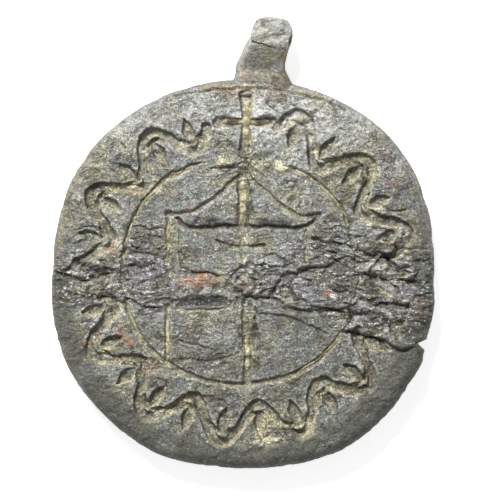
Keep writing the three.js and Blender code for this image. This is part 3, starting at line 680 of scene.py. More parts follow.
def age_skin(height, splits, crazed, x, y):
    """Adds swells, a crust, creases and grain to height, in place. Returns splits with their breaks."""
    height += 0.1 * lumps(x, y, 4.2, 41) + 0.05 * rubble(x, y, 1.5, 42, 4, 0.6)
    border = outside_circle(x, y)
    height += border * (0.11 * lumps(x, y, 1.9, 43) + 0.07 * lumps(x, y, 0.8, 44))
    crusted = (0.35 + 0.65 * border) * smooth(-0.2, 0.5, lumps(x, y, 2.7, 361))
    crust, crust_breaks = slabs(x, y, (2.4, 1.3), 362)
    creased = np.exp(-((rubble(x, y, (2.4, 0.9), 365, 3, 0.6) / 0.13) ** 2))
    creased *= np.maximum(smooth(0.05, 0.4, lumps(x, y, 2.7, 366)), crazed)
    height += crusted * (0.05 * crust - 0.05 * crust_breaks) - (0.05 + 0.05 * crazed) * creased
    height += 0.035 * rubble(x, y, (0.75, 0.5), 371, 3, 0.75) + 0.02 * rubble(x, y, (0.4, 0.3), 375, 2, 0.8)
    return np.maximum.reduce([splits, 0.35 * crusted * crust_breaks, (0.5 + 0.4 * crazed) * creased])


def engraved_face(x, y):
    """The height of the face over its flat, in millimetres, and its stains, at points in millimetres."""
    band = crushed(x, y)
    wx, wy = wavered(x, x, y, band, 11), wavered(y, x, y, band, 21)
    crumbs = crumbled(x, y)
    wear = 1 - 0.6 * band * smooth(-0.3, 0.5, lumps(x, y, 2.6, 31))
    wear *= 0.85 + 0.25 * lumps(x, y, 3.1, 32)
    wear *= 1 - 0.75 * crumbs
    grooves = engrave(wx, wy, 1 + 0.13 * lumps(x, y, 0.9, 34) + 0.1 * lumps(x, y, 0.33, 35))
    burr = grooves.burr * smooth(-0.3, 0.5, lumps(x, y, 1.1, 51))
    rolled = np.exp(-grooves.edge / 0.35)
    height = -grooves.depth * wear + 0.055 * burr * wear - 0.045 * rolled * wear
    height += crumbs * (0.35 * np.abs(rubble(x, y, (0.8, 0.6), 381, 3, 0.7)) - 0.08)
    splits = open_cracks(height, wx, wy)
    folds = wrinkles(x, y)
    height += band * folds.height
    swelling, creases = knob(x, y)
    height += swelling
    splits = np.maximum.reduce([splits, 0.7 * band * folds.breaks, 0.6 * creases])
    crazed = crazed_skin(x, y)
    splits = age_skin(height, splits, crazed, x, y)
    for lump_x, lump_y, size, rise in LUMPS:
        off = np.hypot(wx - lump_x, (wy - lump_y) * 1.4) / size
        height += rise * np.exp(-(off**4))
    pocks = smooth(0.42, 0.62, lumps(x, y, 0.55, 45)) + smooth(0.5, 0.7, lumps(x, y, 0.34, 46))
    height -= 0.06 * pocks * (0.4 + 0.6 * outside_circle(x, y) + 0.6 * band)
    stains = {name: spotted(spots, x, y) for name, spots in FACE_SPOTS.items()}
    stains["ochre"] = np.maximum(stains["ochre"], 0.9 * crumbs)
    # Painted shade on the upper walls and floors of the cuts, and a painted highlight on their lower walls
    stains["wall"] = grooves.gloom * wear
    stains["lit"] = grooves.lit * wear
    stains["slab"] = band * smooth(0.0, 0.55, folds.slabs + 0.3 * lumps(x, y, 0.8, 351))
    stains["earth"] = np.maximum(grooves.earth, 0.28 * np.exp(-grooves.edge / 0.45) * (1 - band))
    stains["split"] = splits
    stains["crushed"] = band * (1 - 0.8 * calm(x))
    stains["crazed"] = crazed
    return Relief(height, stains)


def spread(values, reach):
    """Each value on a grid made the mean of its neighbourhood."""
    for axis in (0, 1):
        padding = [(0, 0), (0, 0)]
        padding[axis] = (reach + 1, reach)
        total = np.cumsum(np.pad(values, padding, mode="edge"), axis=axis)
        size = values.shape[axis]
        near = np.take(total, np.arange(2 * reach + 1, 2 * reach + 1 + size), axis=axis)
        values = (near - np.take(total, np.arange(size), axis=axis)) / (2 * reach + 1)
    return values


def open_new_piece(name):
    """Names the object just added and opens it for editing, all of it selected."""
    piece = bpy.context.active_object
    piece.name = piece.data.name = name
    bpy.ops.object.mode_set(mode="EDIT")
    bpy.ops.mesh.select_all(action="SELECT")
    return piece


def close_piece():
    """Turns the skin of the piece being edited outwards, and leaves editing."""
    bpy.ops.mesh.select_all(action="SELECT")
    bpy.ops.mesh.normals_make_consistent(inside=False)
    bpy.ops.object.mode_set(mode="OBJECT")
    bpy.ops.object.shade_smooth()


def add_prism(name, cells, rows):
    """A square sheet of cells, its edge drawn down row by row and its foot closed. Each row is 1 lower."""
    bpy.ops.object.select_all(action="DESELECT")
    bpy.ops.mesh.primitive_grid_add(x_subdivisions=cells, y_subdivisions=cells, size=2)
    piece = open_new_piece(name)
    bpy.ops.mesh.region_to_loop()
    for _ in range(rows):
        bpy.ops.mesh.extrude_edges_move(TRANSFORM_OT_translate={"value": (0, 0, -1)})
    bpy.ops.mesh.edge_face_add()
    close_piece()
    return piece


def add_stack(name, sides, rows):
    """A closed column of rings, each row 1 higher, for bending along a path."""
    bpy.ops.object.select_all(action="DESELECT")
    bpy.ops.mesh.primitive_circle_add(vertices=sides, radius=1, fill_type="NGON")
    piece = open_new_piece(name)
    for _ in range(rows):
        bpy.ops.mesh.extrude_region_move(TRANSFORM_OT_translate={"value": (0, 0, 1)})
    close_piece()
    return piece


def read_vertices(piece, what):
    """A row for each vertex: its place for "co", the direction out of the skin there for "normal"."""
    values = np.zeros(len(piece.data.vertices) * 3)
    piece.data.vertices.foreach_get(what, values)
    return values.reshape(-1, 3)


def write_points(piece, points):
    """Moves a piece's vertices to points in millimetres."""
    piece.data.vertices.foreach_set("co", (np.asarray(points) * MM).ravel())
    piece.data.update()


def write_stain(piece, name, values):
    """Keeps a value for each vertex under a name that the materials read."""
    stain = piece.data.attributes.new(name, "FLOAT", "POINT")
    stain.data.foreach_set("value", np.asarray(values, np.float32))


def raise_skin(piece, points, height):
    """The points moved out of the piece's skin by a height at each."""
    return points + read_vertices(piece, "normal") * height[:, None]


def disc_angle(sx, sy, reach):
    """The angle on the disc of each point of the square, so that the square's rings become the disc's."""
    wide = np.abs(sx) >= np.abs(sy)
    safe = np.where(reach > 0, reach, 1)
    eighth = math.pi / 4
    angle = np.where(wide, eighth * sy / safe * np.sign(sx), math.pi / 2 - eighth * sx / safe * np.sign(sy))
    angle = np.where(wide & (sx < 0), math.pi + eighth * sy / safe * -1, angle)
    return np.where(~wide & (sy < 0), 1.5 * math.pi + eighth * sx / safe, angle)


def chipped_radius(angle):
    """The plate's radius at each angle, with its small chips and the notch torn in the edge."""
    chips = rubble(angle * EDGE_ARC, angle * 0, 2.6, 61, 3, 0.6)
    radius = edge_radius(angle) + np.minimum(EDGE_CHIPS * chips, 0)
    above_tear = ((angle - math.radians(TEAR_ANGLE) + math.pi) % TURN - math.pi) * radius
    off = np.where(above_tear > 0, above_tear / TEAR_ABOVE, -above_tear / TEAR_BELOW)
    return radius - TEAR_DEPTH * np.clip(1 - off, 0, 1)


def shape_plate(square):
    """The points of a square prism bent into the cast plate, and the row of each, 0 on the face."""
    sx, sy, level = square[:, 0], square[:, 1], np.round(-square[:, 2])
    reach = np.maximum(np.abs(sx), np.abs(sy))
    angle = disc_angle(sx, sy, reach)
    radius = chipped_radius(angle)
    bevel_arc = math.pi / 4 * (BEVEL_WIDTH + BEVEL_DROP)
    flat_share = 1 - bevel_arc / radius
    over = np.clip((reach - flat_share) / (1 - flat_share), 0, 1) * math.pi / 2
    on_flat = np.minimum(reach / flat_share, 1) * (radius - BEVEL_WIDTH)
    r = on_flat + BEVEL_WIDTH * np.sin(over)
    z = PLATE_THICKNESS - BEVEL_DROP * (1 - np.cos(over))
    side = np.clip(level / SIDE_ROWS, 0, 1)
    side_top, side_foot = PLATE_THICKNESS - BEVEL_DROP, BACK_BEVEL_RISE
    down = np.clip(side / STRAIGHT_SHARE, 0, 1)
    tuck = np.clip((side - STRAIGHT_SHARE) / TUCKED_SHARE, 0, 1) * math.pi / 2
    rim = level > 0
    z = np.where(rim, side_top + (side_foot - side_top) * down - BACK_BEVEL_RISE * np.sin(tuck), z)
    r = np.where(rim, radius - BACK_BEVEL_WIDTH * (1 - np.cos(tuck)), r)
    stepped_in = (radius - BACK_BEVEL_WIDTH) * (1 - BACK_STEP * (level - SIDE_ROWS))
    r = np.where(level > SIDE_ROWS, stepped_in, r)
    return np.column_stack([r * np.cos(angle), r * np.sin(angle), z]), level


def rim_shade_and_patina(x, y, z):
    """1 where the rim darkens, painted shade over a dark patina: its lower half, and where it turns down."""
    around = np.sin(np.arctan2(y, x))
    shaded = smooth(15.4, 16.7, np.hypot(x - BORDER_CENTRE[0], y - 0.1)) * smooth(0.75, -0.5, around)
    turned = smooth(3.6, 2.9, z) * (1 - 0.3 * smooth(0.5, 0.9, around))
    return np.maximum(shaded, 0.8 * turned)


class LeadSealCastPlate(bpy.types.Operator):
    """Cast the plate, engrave its face and age it"""

    bl_idname = "lead_seal.cast_plate"
    bl_label = "Cast Plate"

    def execute(self, context):
        cells = context.scene.lead_seal_sizes.face_cells
        piece = add_prism("engraved_plate", cells, SIDE_ROWS + BACK_ROWS)
        points, level = shape_plate(read_vertices(piece, "co"))
        write_points(piece, points)
        x, y, z = points.T
        on_face = (level == 0).astype(float)
        relief = engraved_face(x, y)
        upper = smooth(FACE_FROM, FACE_FULL, z) * on_face
        rough = np.minimum(SIDE_ROUGHNESS * rubble(x + 3 * z, y - 2 * z, 1.1, 71, 4, 0.6), 0)
        height = relief.height * upper + rough * (1 - upper) * (z > 0.05)
        height = np.where(z < SINKS_BELOW, np.minimum(height, 0), height)
        across = cells + 1
        top = height[: across * across].reshape(across, across)
        hollow = np.zeros(len(points))
        around = top
        for reach in HOLLOW_REACHES:
            around = spread(around, reach)
        hollow[: across * across] = (around - top).ravel()
        points = raise_skin(piece, points, np.minimum(height, MAX_RISE))
        points[:, 2] = np.clip(points[:, 2], 0, PLATE_THICKNESS + MAX_RISE)
        limit = edge_radius(np.arctan2(points[:, 1], points[:, 0])) / np.hypot(points[:, 0], points[:, 1])
        points[:, :2] *= np.minimum(limit, 1)[:, None]
        write_points(piece, points)
        for name, values in {**relief.stains, "hollow": hollow}.items():
            write_stain(piece, name, values * upper)
        write_stain(piece, "patina_and_shade", rim_shade_and_patina(x, y, z))
        write_stain(piece, "shade", smooth(SHADE_FROM, SHADE_FULL, y - SHADE_TILT * x) * on_face)
        thin = piece.modifiers.new("thin", "DECIMATE")
        thin.ratio = PLATE_TRIANGLES / sum(len(polygon.vertices) - 2 for polygon in piece.data.polygons)
        bpy.ops.object.modifier_apply(modifier=thin.name)
        finish_piece(piece, "seal_plate", lead_material("aged_lead", 1.0))
        return {"FINISHED"}


# The loop: a strip that leaves the plate's edge, rises as a neck and folds forwards round an eye
LOOP_CENTRE_X = 1.6
# The root is wide and thick, and the head leans to the right
ROOT_WIDTH = 7.0
ROOT_THICKNESS = 2.5
ROOT_RISE = 0.6
STRIP_THICKNESS = 1.2
NECK_RISE = 0.9
NECK_WIDTH = 4.4
HEAD_WIDTH = 3.76
HEAD_LEAN = 1.05
EYE_RADIUS = 0.7
EYE_HEIGHT = 5.05
# The tip: its size, its place in degrees past the bend's top, its end's slant, its shift and its swelling
TIP_THICKNESS = 0.8
TIP_WIDTH = 3.75
TIP_ANGLE = 127
TIP_SLANT = 1.1
TIP_SHIFT = 0.22
TIP_SWELL = 0.55
# The neck swells under the folded lip: how far along the strip the lip lies, how aslant, and by how much
LIP_PLACE = 3.95
LIP_SLANT = 0.42
NECK_SWELL = 1.95
# Above this height the strip is hammered flat, into no more than this room
FLAT_FROM = 3.95
FLAT_ROOM = 0.32
# The shares of the loop's height at which the root's flare ends and the head's width is reached
FLARE_SHARE = 0.37
HEAD_SHARE = 0.86
BEND_RADIUS = EYE_RADIUS + STRIP_THICKNESS / 2
LOOP_HEIGHT = EYE_HEIGHT + EYE_RADIUS + STRIP_THICKNESS
STRIP_LENGTH = EYE_HEIGHT + BEND_RADIUS * math.radians(90 + TIP_ANGLE)
STRIP_SIDES = 72
STRIP_ROWS = 120

# Pits in the folded lip: place, radius and depth
LIP_PITS = ((1.95, 22.35, 0.26, 0.2), (2.95, 23.1, 0.35, 0.08))
LOOP_RUST_SPOTS = ((-0.15, 19.7, 0.35, 0.3, 0.6), (3.85, 20.0, 0.4, 1.9, 0.9), (-0.4, 18.6, 0.6, 0.4, 0.5))


def squared(value):
    """A cosine or sine that goes round a rounded square instead of a circle."""
    return np.sign(value) * np.sqrt(np.abs(value))


def strip_section(distance, turn):
    """Points of the strip's rounded section, at distances along it and at turns round it."""
    flare = np.maximum(0, 1 - distance / (FLARE_SHARE * LOOP_HEIGHT)) ** 1.6
    crown = EYE_HEIGHT + BEND_RADIUS * math.pi / 2
    tip = smooth(crown, STRIP_LENGTH, distance)
    rise = np.where(distance < EYE_HEIGHT, distance, EYE_HEIGHT)
    over = np.maximum(distance - EYE_HEIGHT, 0) / BEND_RADIUS
    height = (rise + BEND_RADIUS * np.sin(np.minimum(over, math.pi / 2))) / LOOP_HEIGHT
    towards_head = np.clip((height - FLARE_SHARE) / (HEAD_SHARE - FLARE_SHARE), 0, 1)
    width = NECK_WIDTH + (HEAD_WIDTH - NECK_WIDTH) * towards_head + (ROOT_WIDTH - NECK_WIDTH) * flare
    width = width + (TIP_WIDTH - width) * tip
    thickness = STRIP_THICKNESS + (ROOT_THICKNESS - STRIP_THICKNESS) * flare
    thickness = thickness + (TIP_THICKNESS - thickness) * tip
    centre = LOOP_CENTRE_X + HEAD_LEAN * smooth(0.3, 0.8, height)
    centre = centre - TIP_SHIFT * tip
    slant = TIP_SLANT * (over * BEND_RADIUS / (STRIP_LENGTH - EYE_HEIGHT)) ** 2
    across, through = squared(np.cos(turn)), squared(np.sin(turn))
    x = centre - width / 2 * across
    along = distance - slant / 2 * across
    inwards = thickness / 2 * through + TIP_SWELL * tip * np.maximum(through, 0)
    neck_z = NECK_RISE + STRIP_THICKNESS / 2
    root_z = ROOT_RISE + ROOT_THICKNESS / 2
    angle = (along - EYE_HEIGHT) / BEND_RADIUS - math.pi / 2
    eye_y, eye_z = SEAT_Y + EYE_HEIGHT, NECK_RISE + STRIP_THICKNESS + EYE_RADIUS
    straight = along <= EYE_HEIGHT
    radius = BEND_RADIUS - inwards
    y = np.where(straight, SEAT_Y + along, eye_y + radius * np.cos(angle))
    z = np.where(straight, neck_z + (root_z - neck_z) * flare + inwards, eye_z + radius * np.sin(angle))
    return np.column_stack([x, y, z])


def hammer_strip(points, distance, turn):
    """Swells, dents and flattens the bent strip, in place, as its maker's hammer and its use have."""
    across = squared(np.cos(turn))
    front = np.sin(turn)
    tip_end = smooth(STRIP_LENGTH - 0.7, STRIP_LENGTH, distance)
    lip = LIP_PLACE + LIP_SLANT * across
    under_lip = np.clip((distance - 0.3) / (lip - 0.3), 0, 1) * smooth(lip + 1.0, lip + 0.45, distance)
    points[:, 2] += NECK_SWELL * under_lip * smooth(0.1, 0.9, front)
    # The left side of the neck bulges, and the right side of the tip is drawn in
    points[:, 0] -= 0.3 * np.maximum(across, 0) * smooth(1.2, 2.8, distance) * smooth(5.8, 4.4, distance)
    points[:, 0] += 0.35 * np.minimum(across, 0) * smooth(STRIP_LENGTH - 1.6, STRIP_LENGTH, distance)
    # The end of the tip is ragged
    points[:, 1] -= 0.16 * lumps(across * 3, across * 0, 1.0, 509) * tip_end
    proud = np.maximum(points[:, 2] - FLAT_FROM, 0)
    points[:, 2] -= proud - FLAT_ROOM * np.tanh(proud / FLAT_ROOM)
    # The crown is narrower, and slopes down to the right
    crown = smooth(23.2, 24.5, points[:, 1])
    points[:, 0] += (2.65 - points[:, 0]) * 0.2 * crown
    points[:, 1] -= 0.1 * np.maximum(points[:, 0] - 2.8, 0) ** 1.5 * crown
    # The root is thick, and sunk into the plate's edge
    points[:, 2] += 0.75 * np.exp(-((distance / 1.1) ** 2)) * smooth(0.0, 0.8, front)
    points[:, 1] -= 0.5 * np.exp(-distance / 0.3)


def loop_height(x, y, z, u, v):
    """The height of the loop's skin over the hammered strip. u and v run along the strip and across it."""
    height = 0.08 * lumps(u, v, 1.3, 501) + 0.04 * rubble(u, v, 0.7, 502, 4, 0.6)
    height -= 0.06 * smooth(0.4, 0.65, lumps(u, v, 0.5, 507))
    for pit_x, pit_y, size, depth in LIP_PITS:
        off = np.hypot(x - pit_x, y - pit_y) / size
        height -= depth * np.exp(-(off**2)) * (z > 3)
    return height - (0.05 + 0.05 * (y > 23.5))


class LeadSealFoldLoop(bpy.types.Operator):
    """Fold the loop forwards over its eye and age it"""

    bl_idname = "lead_seal.fold_loop"
    bl_label = "Fold Loop"

    def execute(self, context):
        piece = add_stack("folded_loop", STRIP_SIDES, STRIP_ROWS)
        stack = read_vertices(piece, "co")
        turn = np.arctan2(stack[:, 1], stack[:, 0])
        distance = stack[:, 2] / STRIP_ROWS * STRIP_LENGTH
        points = strip_section(distance, turn)
        hammer_strip(points, distance, turn)
        write_points(piece, points)
        x, y, z = points.T
        height = loop_height(x, y, z, distance * 1.1, x * 1.2 + 0.7 * z)
        write_points(piece, raise_skin(piece, points, height))
        across = squared(np.cos(turn))
        tip = smooth(EYE_HEIGHT - 0.5, EYE_HEIGHT + 0.2, distance)
        neck_pale = (0.2 + 0.35 * smooth(0.1, 0.8, across)) * smooth(0.9, 2.2, distance)
        # The neck's sides darken, the right one most, away from the key lamp: painted shade over a dark
        # patina
        neck_sides = np.maximum(0.9 * smooth(-0.8, -0.97, across), 0.5 * smooth(0.85, 0.98, across))
        write_stain(piece, "hollow", 0.9 * (-height - 0.02))
        # The tip is painted lighter, as if the key lamp fell full on it, and so is the neck towards its left
        write_stain(piece, "pale", 0.35 * tip + (1 - tip) * neck_pale)
        write_stain(piece, "neck", 1 - tip)
        write_stain(piece, "patina_and_shade", (1 - tip) * neck_sides)
        write_stain(piece, "rust", spotted(LOOP_RUST_SPOTS, x, y) * (z > 1.5))
        finish_piece(piece, "suspension_loop", lead_material("worn_lead", 0.3))
        return {"FINISHED"}


# Where the earth is dark
DAMP_SPOTS = (
    (-1.1, 14.5, 0.95, 0.8, 1.0), (1.4, 14.5, 1.0, 0.8, 1.0), (-0.2, 5.2, 0.6, 0.6, 0.6),
    (0.3, -9.2, 0.6, 0.8, 0.6), (-7.15, 1.2, 0.5, 0.8, 0.5), (9.0, 6.0, 1.0, 1.2, 0.6),
    (-11.2, -2.0, 1.0, 1.5, 0.6),
)

# The earth left in the grooves: the node that each piece stands for, its paths and its width
Fill = namedtuple("Fill", "node paths width share", defaults=(even,))

# The steps of a heap's column in millimetres, its sides, and the voxels that join and grain it
HEAP_STEP = 0.12
HEAP_SIDES = 12
HEAP_VOXEL = 0.055


def distances(path):
    """How far each point of a path lies along it."""
    return np.concatenate([[0], np.cumsum(np.hypot(*np.diff(path, axis=0).T))])


def points_at(path, distance):
    """The x and the y of the points at some distances along a path."""
    return np.array([np.interp(distance, distances(path), path[:, axis]) for axis in (0, 1)])


def part_of(path, start, end):
    """The stretch of a path between two shares of its length."""
    return points_at(path, np.linspace(start, end, 40) * distances(path)[-1]).T


def fills():
    """The seven loose fills of earth."""
    staff = spline([(-0.12, 9.4), (-0.1, 4.75), (0.05, 0.5), (0.28, -3.2), (0.28, -6.05), (0.2, -9.1)])
    post = np.array([(-7.15, 5.5), (-7.15, -7.6)])
    upright = np.array([(0.14, 16.75), (0.14, 12.2)])
    crossbar = np.array([(-2.1, 14.475), (2.4, 14.475)])
    return (
        Fill("earth_in_cross", (upright, crossbar), 0.6, cross_share),
        Fill("earth_in_staff_top", (part_of(staff, 0.02, 0.25),), 0.68),
        Fill("earth_in_staff_foot", (part_of(staff, 0.79, 0.98),), 0.5),
        Fill("earth_in_left_post_top", (part_of(post, 0.04, 0.38),), 0.36),
        Fill("earth_in_left_post_foot", (part_of(post, 0.7, 0.98),), 0.38),
        Fill("earth_in_circle_left", (arc_of_ring(112, 212),), 0.24),
        Fill("earth_in_circle_right", (arc_of_ring(-62, 66),), 0.25),
    )


def heap_points(stack, rows, path, width, share, seed):
    """Bends a stack along a groove, as a low heap on the groove's floor."""
    turn = np.arctan2(stack[:, 1], stack[:, 0])
    t = stack[:, 2] / rows
    length = distances(path)[-1]
    at = t * length
    x, y = points_at(path, at)
    ahead, behind = np.clip(at + 0.1, 0, length), np.clip(at - 0.1, 0, length)
    ahead_x, ahead_y = points_at(path, ahead) - points_at(path, behind)
    step = np.hypot(ahead_x, ahead_y)
    ends = np.sqrt(smooth(0, 0.5, at) * smooth(0, 0.5, length - at)) * 0.9 + 0.1
    around = 0.3 * np.cos(turn)
    swell = 1 + 0.2 * lumps(at, around, 0.9, seed) + 0.2 * lumps(at, around, 0.3, seed + 5)
    across = width / 2 * share(t) * swell * ends * np.cos(turn)
    floor = engraved_face(x, y).height
    stray = 0.1 * lumps(at, at * 0, 1.4, seed + 1)
    x = x - ahead_y / step * (across + stray)
    y = y + ahead_x / step * (across + stray)
    sunk = smooth(0.25, 0.7, crushed(x, y))
    gaps = smooth(0.05, 0.45, lumps(at, at * 0, 1.1, seed + 3))
    crest = (1 - 0.9 * sunk) * (0.22 * swell - 0.17 * gaps) * ends
    over_floor = np.where(np.sin(turn) > 0, crest * np.sin(turn), 0.14 * np.sin(turn))
    z = PLATE_THICKNESS + floor - 0.03 - 0.25 * sunk + over_floor
    return np.column_stack([x, y, z])


class LeadSealPackEarth(bpy.types.Operator):
    """Pack earth into the grooves that still hold it"""

    bl_idname = "lead_seal.pack_earth"
    bl_label = "Pack Earth"

    def execute(self, context):
        material = earth_material()
        for k, fill in enumerate(fills()):
            heaps = []
            for path in fill.paths:
                rows = max(8, round(distances(path)[-1] / HEAP_STEP))
                heap = add_stack(fill.node.replace("earth_in", "earth_of"), HEAP_SIDES, rows)
                stack = read_vertices(heap, "co")
                heaped = heap_points(stack, rows, path, fill.width, fill.share, 600 + 20 * k)
                # The remesh works in millimetres, so these points aren't scaled yet
                heap.data.vertices.foreach_set("co", heaped.ravel())
                heaps.append(heap)
            bpy.ops.object.select_all(action="DESELECT")
            for heap in heaps:
                heap.select_set(True)
            piece = bpy.context.view_layer.objects.active = heaps[0]
            if len(heaps) > 1:
                bpy.ops.object.join()
            remesh = piece.modifiers.new("grain", "REMESH")
            remesh.mode = "VOXEL"
            remesh.voxel_size = HEAP_VOXEL
            bpy.ops.object.modifier_apply(modifier=remesh.name)
            bpy.ops.object.shade_smooth()
            points = read_vertices(piece, "co")
            x, y, z = points.T
            grains = 0.035 * lumps(x + z, y - z, 0.28, 700 + k) + 0.03 * lumps(x - z, y + z, 0.13, 720 + k)
            write_points(piece, raise_skin(piece, points, grains))
            write_stain(piece, "damp", spotted(DAMP_SPOTS, x, y))
            finish_piece(piece, fill.node, material)
        return {"FINISHED"}


def finish_piece(piece, node, material):
    """Gives a piece its material, hangs it under the body's empty and hides the imported part named node."""
    piece.data.materials.clear()
    piece.data.materials.append(material)
    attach(piece, BODY)
    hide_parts(node)


def opaque(colour):
    return (*colour, 1)


class NodeBench:
    """Short calls for laying out a material's nodes. colour is what its coats have built up so far."""

    def __init__(self, name):
        self.material = bpy.data.materials.new(name)
        self.material.use_nodes = True
        self.tree = self.material.node_tree
        self.tree.nodes.clear()
        self.place = self.add("ShaderNodeTexCoord").outputs["Object"]
        self.colour = None

    def add(self, kind, **settings):
        node = self.tree.nodes.new(kind)
        for name, value in settings.items():
            setattr(node, name, value)
        return node

    def feed(self, node, **values):
        """Links or sets a node's inputs. The name of an input is written with _ for its spaces."""
        for name, value in values.items():
            self.feed_socket(node.inputs[name.replace("_", " ")], value)

    def feed_socket(self, socket, value):
        if isinstance(value, bpy.types.NodeSocket):
            self.tree.links.new(value, socket)
        else:
            socket.default_value = value

    def vector(self, operation, *values):
        node = self.add("ShaderNodeVectorMath", operation=operation)
        for socket, value in zip(node.inputs, values):
            self.feed_socket(socket, value)
        return node.outputs["Vector"]

    def noise(self, size_mm, detail=3.0, rough=0.55, warp=0.0, drawn_out=1.0):
        """Noise whose features are about size_mm across, from 0 to 1, and drawn out along x."""
        place = self.vector("MULTIPLY", self.place, (1 / drawn_out, 1, 1))
        node = self.add("ShaderNodeTexNoise")
        self.feed(node, Vector=place, Scale=1 / (size_mm * MM), Detail=detail)
        self.feed(node, Roughness=rough, Distortion=warp)
        return node.outputs["Fac"]

    def crackle(self, size_mm, drawn_out=1.0):
        """A ragged net of cracks: 0 on them, and the more the farther from them. size_mm is its mesh."""
        wander = self.add("ShaderNodeTexNoise")
        self.feed(wander, Vector=self.place, Scale=2.2 / (size_mm * MM), Detail=4.0)
        bent = self.vector("MULTIPLY_ADD", wander.outputs["Color"], (size_mm * MM,) * 3, self.place)
        drawn = self.vector("MULTIPLY", bent, (1 / drawn_out, 1, 1))
        cells = self.add("ShaderNodeTexVoronoi", feature="DISTANCE_TO_EDGE")
        self.feed(cells, Vector=drawn, Scale=1 / (size_mm * MM))
        return cells.outputs["Distance"]

    def stain(self, name):
        """What write_stain wrote to the mesh under this name."""
        return self.add("ShaderNodeAttribute", attribute_name=name).outputs["Fac"]

    def calculate(self, operation, a, b=0.0):
        node = self.add("ShaderNodeMath", operation=operation)
        self.feed_socket(node.inputs[0], a)
        self.feed_socket(node.inputs[1], b)
        return node.outputs[0]

    def plus(self, a, b):
        return self.calculate("ADD", a, b)

    def less(self, a, b):
        return self.calculate("SUBTRACT", a, b)

    def times(self, a, b):
        return self.calculate("MULTIPLY", a, b)

    def most(self, first, *others):
        """The greatest of some values."""
        for other in others:
            first = self.calculate("MAXIMUM", first, other)
        return first

    def lines(self, noise):
        """0 along the lines where a noise crosses its middle, and the more the farther from them."""
        return self.calculate("ABSOLUTE", self.less(noise, 0.5))

    def between(self, value, low, high):
        """0 where value is below low and 1 where it is above high."""
        node = self.add("ShaderNodeMapRange", interpolation_type="SMOOTHSTEP")
        self.feed(node, Value=value, From_Min=low, From_Max=high)
        return node.outputs["Result"]

    def patchy(self, stain, pattern, low, high):
        """A stain of the mesh where a pattern lets it through, which it does above high."""
        return self.times(self.stain(stain), self.between(pattern, low, high))

    def coat(self, colour, share, strength=1.0, how="MIX"):
        """Lays a colour over the colour so far, as much of it as share and strength say."""
        node = self.add("ShaderNodeMix", data_type="RGBA", blend_type=how)
        share = share if strength == 1.0 else self.times(share, strength)
        coat = colour if isinstance(colour, bpy.types.NodeSocket) else opaque(colour)
        self.feed(node, Factor=share, A=self.colour, B=coat)
        self.colour = node.outputs["Result"]

    def ramp(self, value, *stops):
        node = self.add("ShaderNodeValToRGB")
        self.feed(node, Fac=value)
        band = node.color_ramp
        while len(band.elements) < len(stops):
            band.elements.new(0.5)
        for element, (place, colour) in zip(band.elements, stops):
            element.position = place
            element.color = opaque(colour)
        return node.outputs["Color"]

    def grey_ramp(self, value, *stops):
        return self.ramp(value, *[(place, (grey, grey, grey)) for place, grey in stops])

    def bump(self, *layers):
        """The normal over layers of height, each with its depth in millimetres. The first is the lowest."""
        normal = None
        for height, depth_mm in layers:
            node = self.add("ShaderNodeBump")
            self.feed(node, Height=height, Distance=depth_mm * MM)
            if normal is not None:
                self.feed(node, Normal=normal)
            normal = node.outputs["Normal"]
        return normal

    def finish(self, roughness, normal, metallic=0.0, specular=0.5):
        """Makes a surface of the colour so far and returns the material."""
        shader = self.add("ShaderNodeBsdfPrincipled")
        self.feed(shader, Base_Color=self.colour, Roughness=roughness, Normal=normal, Metallic=metallic)
        self.feed(shader, Specular_IOR_Level=specular)
        output = self.add("ShaderNodeOutputMaterial")
        self.feed(output, Surface=shader.outputs["BSDF"])
        return self.material


def earth_stops(tones, first):
    """The stops of a ramp through the earth's tones, from dark to pale. first is where the darkest ends."""
    return (first, tones.earth_brown), (0.5, tones.earth_ochre), (0.62, tones.earth_pale)


